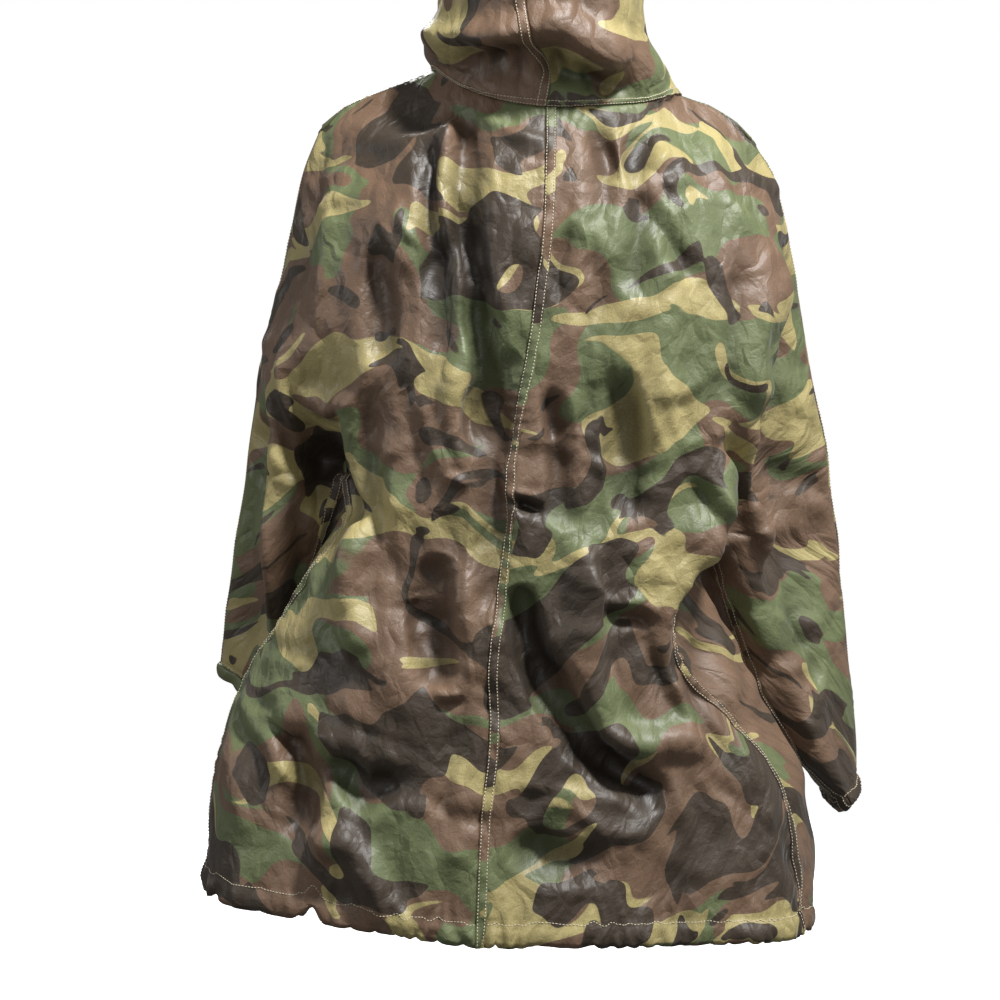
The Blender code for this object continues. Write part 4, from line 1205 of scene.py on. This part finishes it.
class Nodes:
    """Builds a material's nodes."""

    def __init__(self, name):
        self.material = bpy.data.materials.new(name)
        self.material.use_nodes = True
        self.tree = self.material.node_tree

    def connect(self, node, inputs):
        """Links or sets inputs: by name with _ for a space, or by number as i0, i1 and so on."""
        for key, value in inputs.items():
            socket = node.inputs[int(key[1:]) if key[1:].isdigit() else key.replace("_", " ")]
            if isinstance(value, bpy.types.NodeSocket):
                self.tree.links.new(value, socket)
            else:
                socket.default_value = value

    def shader(self, **inputs):
        self.connect(self.tree.nodes["Principled BSDF"], inputs)
        return self.material

    def add(self, kind, settings=None, **inputs):
        node = self.tree.nodes.new("ShaderNode" + kind)
        for key, value in (settings or {}).items():
            setattr(node, key, value)
        self.connect(node, inputs)
        return node

    def math(self, operation, a, b=0.0, c=0.0):
        return self.add("Math", {"operation": operation}, i0=a, i1=b, i2=c).outputs[0]

    def vector_math(self, operation, **inputs):
        return self.add("VectorMath", {"operation": operation}, **inputs).outputs[0]

    def mix(self, share, a, b, blend="MIX"):
        settings = {"data_type": "RGBA", "blend_type": blend}
        return self.add("Mix", settings, i0=share, i6=a, i7=b).outputs[2]

    def about(self, value, share, middle):
        """A value around 0.5 as one around the middle, with a share of its spread."""
        return self.math("MULTIPLY_ADD", self.math("SUBTRACT", value, 0.5), share, middle)

    def noise(self, vector, scale, detail=2.0, roughness=0.5, distortion=0.0, size="2D",
              out="Fac"):
        node = self.add("TexNoise", {"noise_dimensions": size}, Vector=vector, Scale=scale,
                        Detail=detail, Roughness=roughness, Distortion=distortion)
        return node.outputs[out]

    def edge(self, value, level):
        """1 where the value is above the level, with a narrow soft edge."""
        return self.add("MapRange", {"interpolation_type": "SMOOTHSTEP"}, Value=value,
                        i1=level - EDGE_SOFTNESS, i2=level + EDGE_SOFTNESS).outputs[0]

    def moved(self, vector, scale, place=(0, 0, 0), turn=0.0):
        return self.add("Mapping", {"vector_type": "POINT"}, Vector=vector, Location=place,
                        Rotation=(0, 0, turn), Scale=scale).outputs[0]

    def drifted(self, place, scale, detail, share, middle=0.0):
        """A place that wanders with the colour of a noise."""
        drift = self.noise(place, scale, detail, out="Color")
        drift = self.vector_math("SUBTRACT", i0=drift, i1=(middle,) * 3)
        drift = self.vector_math("SCALE", i0=drift, Scale=share)
        return self.vector_math("ADD", i0=place, i1=drift)


def weave_bump(nodes, cloth, strength):
    """Fine crumples of the coated cloth and its plain weave, as bump."""
    warped = nodes.drifted(cloth, 18.0, 2.0, 0.045)
    settings = {"feature": "DISTANCE_TO_EDGE", "voronoi_dimensions": "2D"}
    wide, narrow = (
        nodes.add("TexVoronoi", settings, Vector=nodes.moved(warped, (1, 0.5, 1), turn=turn),
                  Scale=scale).outputs[0]
        for scale, turn in ((20.0, 0.3), (46.0, -0.5)))
    facets = nodes.math("MULTIPLY_ADD", narrow, 0.4, wide)
    small = nodes.noise(cloth, 130, 2, 0.6, 0.3)
    warp, weft = (
        nodes.add("TexWave", {"bands_direction": axis}, Vector=cloth, Scale=420.0).outputs[1]
        for axis in "XY")
    weave = nodes.math("MULTIPLY", warp, weft)
    under = {}
    for height, distance, share in (
            (facets, 0.02, strength), (small, 0.0018, strength), (weave, 0.00012, 0.3)):
        bump = nodes.add("Bump", None, Height=height, Distance=distance, Strength=share, **under)
        under = {"Normal": bump.outputs[0]}
    return under["Normal"]


def camouflage():
    """The printed cloth, darkened with painted shade in the troughs of its folds and creases. The
    colour of the attribute holds the leans and its alpha the painted shade.
    """
    nodes = Nodes("camouflage_print_painted_shade")
    cloth = nodes.add("UVMap", {"uv_map": "cloth"}).outputs[0]
    lean = nodes.add("Attribute", {"attribute_name": "lean"}).outputs
    leans = nodes.add("SeparateColor", None, Color=lean["Color"]).outputs
    place = nodes.drifted(cloth, 15.0, 0.6, 0.055, 0.5)
    colour = INKS["green"]
    for layer, more in zip(LAYERS, leans):
        ink, stretch, start, turn, scale, roughness, distortion, level = layer
        turned = nodes.moved(place, stretch, start, turn)
        patches = nodes.noise(turned, scale, 1.0, roughness, distortion)
        leaning = nodes.math("ADD", patches, nodes.math("SUBTRACT", more, 0.5))
        colour = nodes.mix(nodes.edge(leaning, level), colour, INKS[ink])
    worn = nodes.noise(cloth, 14, 2, 0.6)
    # A factor on the print's colour: random wear and fine speckle, and below it the painted shade
    # of the troughs
    light = nodes.about(nodes.noise(cloth, 900, 0, 0.6), 0.5, nodes.about(worn, 0.5, 1.0))
    # Painted shade: up to 45 percent darker in the deepest troughs of the folds and creases
    painted_shade = nodes.math("MULTIPLY_ADD", lean["Alpha"], 0.45, 0.55)
    light = nodes.math("MULTIPLY", light, painted_shade)
    grey = nodes.add("CombineColor", None, Red=light, Green=light, Blue=light).outputs[0]
    return nodes.shader(
        Base_Color=nodes.mix(1.0, colour, grey, "MULTIPLY"),
        Roughness=nodes.about(worn, 0.25, 0.52), Normal=weave_bump(nodes, cloth, 0.38),
        Specular_IOR_Level=0.5, Sheen_Weight=0.08, Sheen_Roughness=0.4)


def plain_cloth(name, colour, roughness):
    """Cloth of one colour, which is a little darker in places."""
    nodes = Nodes(name)
    cloth = nodes.add("UVMap", {"uv_map": "cloth"}).outputs[0]
    worn = nodes.noise(cloth, 30, 4, 0.6)
    darker = tuple(c * 0.7 for c in colour[:3]) + (1,)
    return nodes.shader(
        Base_Color=nodes.mix(worn, darker, colour), Normal=weave_bump(nodes, cloth, 0.2),
        Roughness=nodes.math("MULTIPLY_ADD", worn, 0.2, roughness - 0.1))


def thread_material():
    """Beige thread with a twist."""
    nodes = Nodes("thread")
    place = nodes.add("TexCoord").outputs["Object"]
    twist = nodes.noise(place, 700, 1, 0.6, size="3D")
    return nodes.shader(Base_Color=nodes.mix(twist, *THREAD_COLOURS), Roughness=0.7)


def light_up():
    """A background that is white to the camera and dim to the parka, and the lights."""
    world = bpy.data.worlds.new("studio")
    bpy.context.scene.world = world
    world.use_nodes = True
    tree = world.node_tree
    background = tree.nodes["Background"].inputs
    background["Color"].default_value = (1, 1, 1, 1)
    rays = tree.nodes.new("ShaderNodeLightPath")
    strength = tree.nodes.new("ShaderNodeMix")
    tree.links.new(rays.outputs["Is Camera Ray"], strength.inputs[0])
    strength.inputs[2].default_value = AMBIENT
    strength.inputs[3].default_value = 1.0
    tree.links.new(strength.outputs[0], background["Strength"])
    for name, place, size, power in LIGHTS:
        data = bpy.data.lights.new(name, "AREA")
        data.shape = "DISK"
        data.size = size
        data.energy = power
        light = put_in_scene(name, data)
        light.location = place
        aim = np.array(AIM) - np.array(place)
        yaw = math.atan2(aim[1], aim[0])
        pitch = math.atan2(np.hypot(aim[0], aim[1]), -aim[2])
        light.rotation_euler = (pitch, 0, yaw - math.pi / 2)


def lay_floor():
    """A white disk under the parka, which glows a little and doesn't light the cloth."""
    angles = np.linspace(0, 2 * math.pi, FLOOR_SIDES + 1)[:-1]
    ring = np.stack([np.cos(angles), np.sin(angles)], 1)
    points = [(0.0, 0.0, FLOOR_Z)]
    for radius in FLOOR_RADII:
        points += [(x * radius, y * radius, FLOOR_Z) for x, y in ring]
    around = [(k, (k + 1) % FLOOR_SIDES) for k in range(FLOOR_SIDES)]
    faces = [(0, 1 + a, 1 + b) for a, b in around]
    for s in (1, 1 + FLOOR_SIDES):
        faces += [(s + a, s + FLOOR_SIDES + a, s + FLOOR_SIDES + b, s + b) for a, b in around]
    material = Nodes("floor").shader(
        Base_Color=(0.9, 0.9, 0.9, 1), Roughness=0.9, Emission_Color=(1, 1, 1, 1),
        Emission_Strength=FLOOR_GLOW)
    floor = new_object("floor", points, faces, [material])
    floor.visible_diffuse = floor.visible_glossy = False


def set_camera():
    """The photograph's view: level, and straight at the back."""
    data = bpy.data.cameras.new("camera")
    data.sensor_width = 36.0
    data.lens = CAMERA_LENS
    camera = put_in_scene("camera", data)
    camera.location = CAMERA_PLACE
    camera.rotation_euler = (math.pi / 2, 0, math.pi)
    bpy.context.scene.camera = camera
    bpy.context.scene.view_settings.view_transform = "Standard"


def sew(panels):
    """All felled seams and stitch lines."""
    seams = Seams()
    seams.fell(panels["back_right"], "centre", shift=CENTRE_PRINT_SHIFT)
    for side in NECK:
        back, front, hood = (panels[f"{face}_{side}"] for face in ("back", "front", "hood"))
        for panel, edge in ((back, "side"), (back, "under"), (front, "over"), (front, "shoulder")):
            seams.fell(panel, edge)
        for panel in (back, front):
            seams.stitch(panel, "hem", CASING)
            seams.stitch(panel, "cuff", CUFF_CASING)
        seams.fell(hood, "neck", NECK_FELL, NECK_FELL_STITCHES)
        seams.stitch(hood, "face", CUFF_CASING)
    seams.fell(panels["hood_left"], "centre")
    return seams


def sewn_on(name, lines, thickness, material, turned=False):
    """A strip of doubled cloth that lies on a panel, from the values along its lines."""
    places, normals = lines[:, :, PLACE], lines[:, :, NORMAL]
    cloth, lean = lines[:, :, ON_CLOTH].reshape(-1, 2), lines[:, :, LEAN_AND_PAINTED_SHADE].reshape(-1, 4)
    outer = (places + normals * (FLAP_LIFT + thickness)).reshape(-1, 3)
    inner = (places + normals * FLAP_LIFT).reshape(-1, 3)
    quads = grid_faces(*lines.shape[:2])
    return thin_solid(name, outer, inner, quads[:, ::-1] if turned else quads, (3, 2, 1, 0),
                      cloth, lean, [material])


def front_flap(panels, material):
    """The storm flap, which lies over both front edges."""
    distances = np.linspace(0, FLAP_HALF, FLAP_COLUMNS)
    left = offset_lines(panels["front_left"], "centre", distances, 1)
    right = offset_lines(panels["front_right"], "centre", distances[1:], 1)
    lines = np.concatenate([right[:, ::-1], left], axis=1)
    across = np.linspace(-FLAP_HALF, FLAP_HALF, lines.shape[1])
    lines[:, :, ON_CLOTH.start] = across + FLAP_PRINT_AT
    return sewn_on("cloth_front_flap", lines, FLAP_CLOTH, material)


def cuff_tab(panel, material):
    """The adjusting tab, which lies along the end of the sleeve from the overarm seam."""
    values = panel.values()
    rows = panel.rows["tube"][::-1, ::-1][:NEAR_EDGE]
    coarse = SPANS[panel.face][1][0] / 3
    places = np.linspace(*TAB_ENDS, TAB_GRID[0]) * coarse
    heights = np.linspace(TAB_ABOVE_EDGE, TAB_ABOVE_EDGE + TAB_WIDTH, TAB_GRID[1])
    columns = np.arange(rows.shape[1])
    made = []
    for place in places:
        line = np.array([values_at(place, columns, values[row]) for row in rows])
        made.append(values_at(heights, length_along(line[:, PLACE]), line))
    lines = np.array(made).transpose(2, 0, 1)
    lines[:, :, NORMAL] = unit(lines[:, :, NORMAL])
    turned = (panel.side == "left") == (panel.face == "back")
    return sewn_on(f"cloth_cuff_tab_{panel.side}", lines, TAB_CLOTH, material, turned)


def main():
    """Shapes the panels as one skin, sews them and names them for the frame."""
    named = {(face, side): panel_levels(face, side) for face in SPANS for side in NECK}
    made = [body_panel(face, side, named) for face, side in named]
    made += [hood_panel(side) for side in NECK]
    ids = skin_ids(made)
    shared_normals(made, ids)
    for panel in made:
        panel.lean = lean_of(panel)
        panel.smooth_normals = panel.normals
        height = relief(panel)
        # Painted shade: the deeper a trough of the folds and creases, the darker the print is
        # painted there
        panel.cavity = np.clip(-(height + panel.fold_height) / PAINTED_SHADE_DEPTH, 0, 1)
        panel.points = panel.points + panel.normals * height[:, None]
        if panel.face != "hood":
            panel.points[:, 2] += scallops(panel)
    close_seams(made, ids)
    smooth_folded(made, ids)
    shared_normals(made, ids)
    for number, panel in enumerate(made):
        # The painted shade of the troughs goes with the lean, as its fourth column
        panel.lean = np.hstack([panel.lean, panel.cavity[:, None]])
        sign = -1 if panel.side == "right" else 1
        start = 0 if panel.face == "back" else number * PRINT_STEP
        panel.cloth = panel.flat * (sign, -1) + np.array((0, start))
    panels = {panel.name: panel for panel in made}

    print_and_painted_shade = camouflage()
    coating = plain_cloth("olive_coating", COATING_COLOUR, 0.42)
    green = plain_cloth("green_nylon", TAB_COLOUR, 0.48)
    thread = thread_material()
    seams = sew(panels)
    for name, panel in panels.items():
        cloth = shell(f"cloth_{name}", panel, [print_and_painted_shade, coating])
        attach(cloth, "root")
        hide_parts(name)
        with_pieces = []
        if name in seams.bands:
            band = band_object(f"seam_{name}", seams.bands[name], print_and_painted_shade)
            with_pieces.append(band)
        if name in seams.threads:
            with_pieces.append(thread_object(f"thread_{name}", seams.threads[name], thread))
        for piece in with_pieces:
            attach(piece, "root")
    flap = front_flap(panels, print_and_painted_shade)
    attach(flap, "root")
    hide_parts("front_flap")
    lift = FLAP_LIFT + FLAP_CLOTH + 0.1
    lines = [stitch_line(panels[f"front_{side}"], "centre", FLAP_HALF - inwards, lift, 1)
             for side, inwards in FLAP_STITCHES]
    flap_thread = thread_object("thread_front_flap", lines, thread)
    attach(flap_thread, "root")
    for panel in (panels["back_left"], panels["front_right"]):
        tab = cuff_tab(panel, green)
        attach(tab, "root")
        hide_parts(f"cuff_tab_{panel.side}")
    light_up()
    lay_floor()
    set_camera()


main()
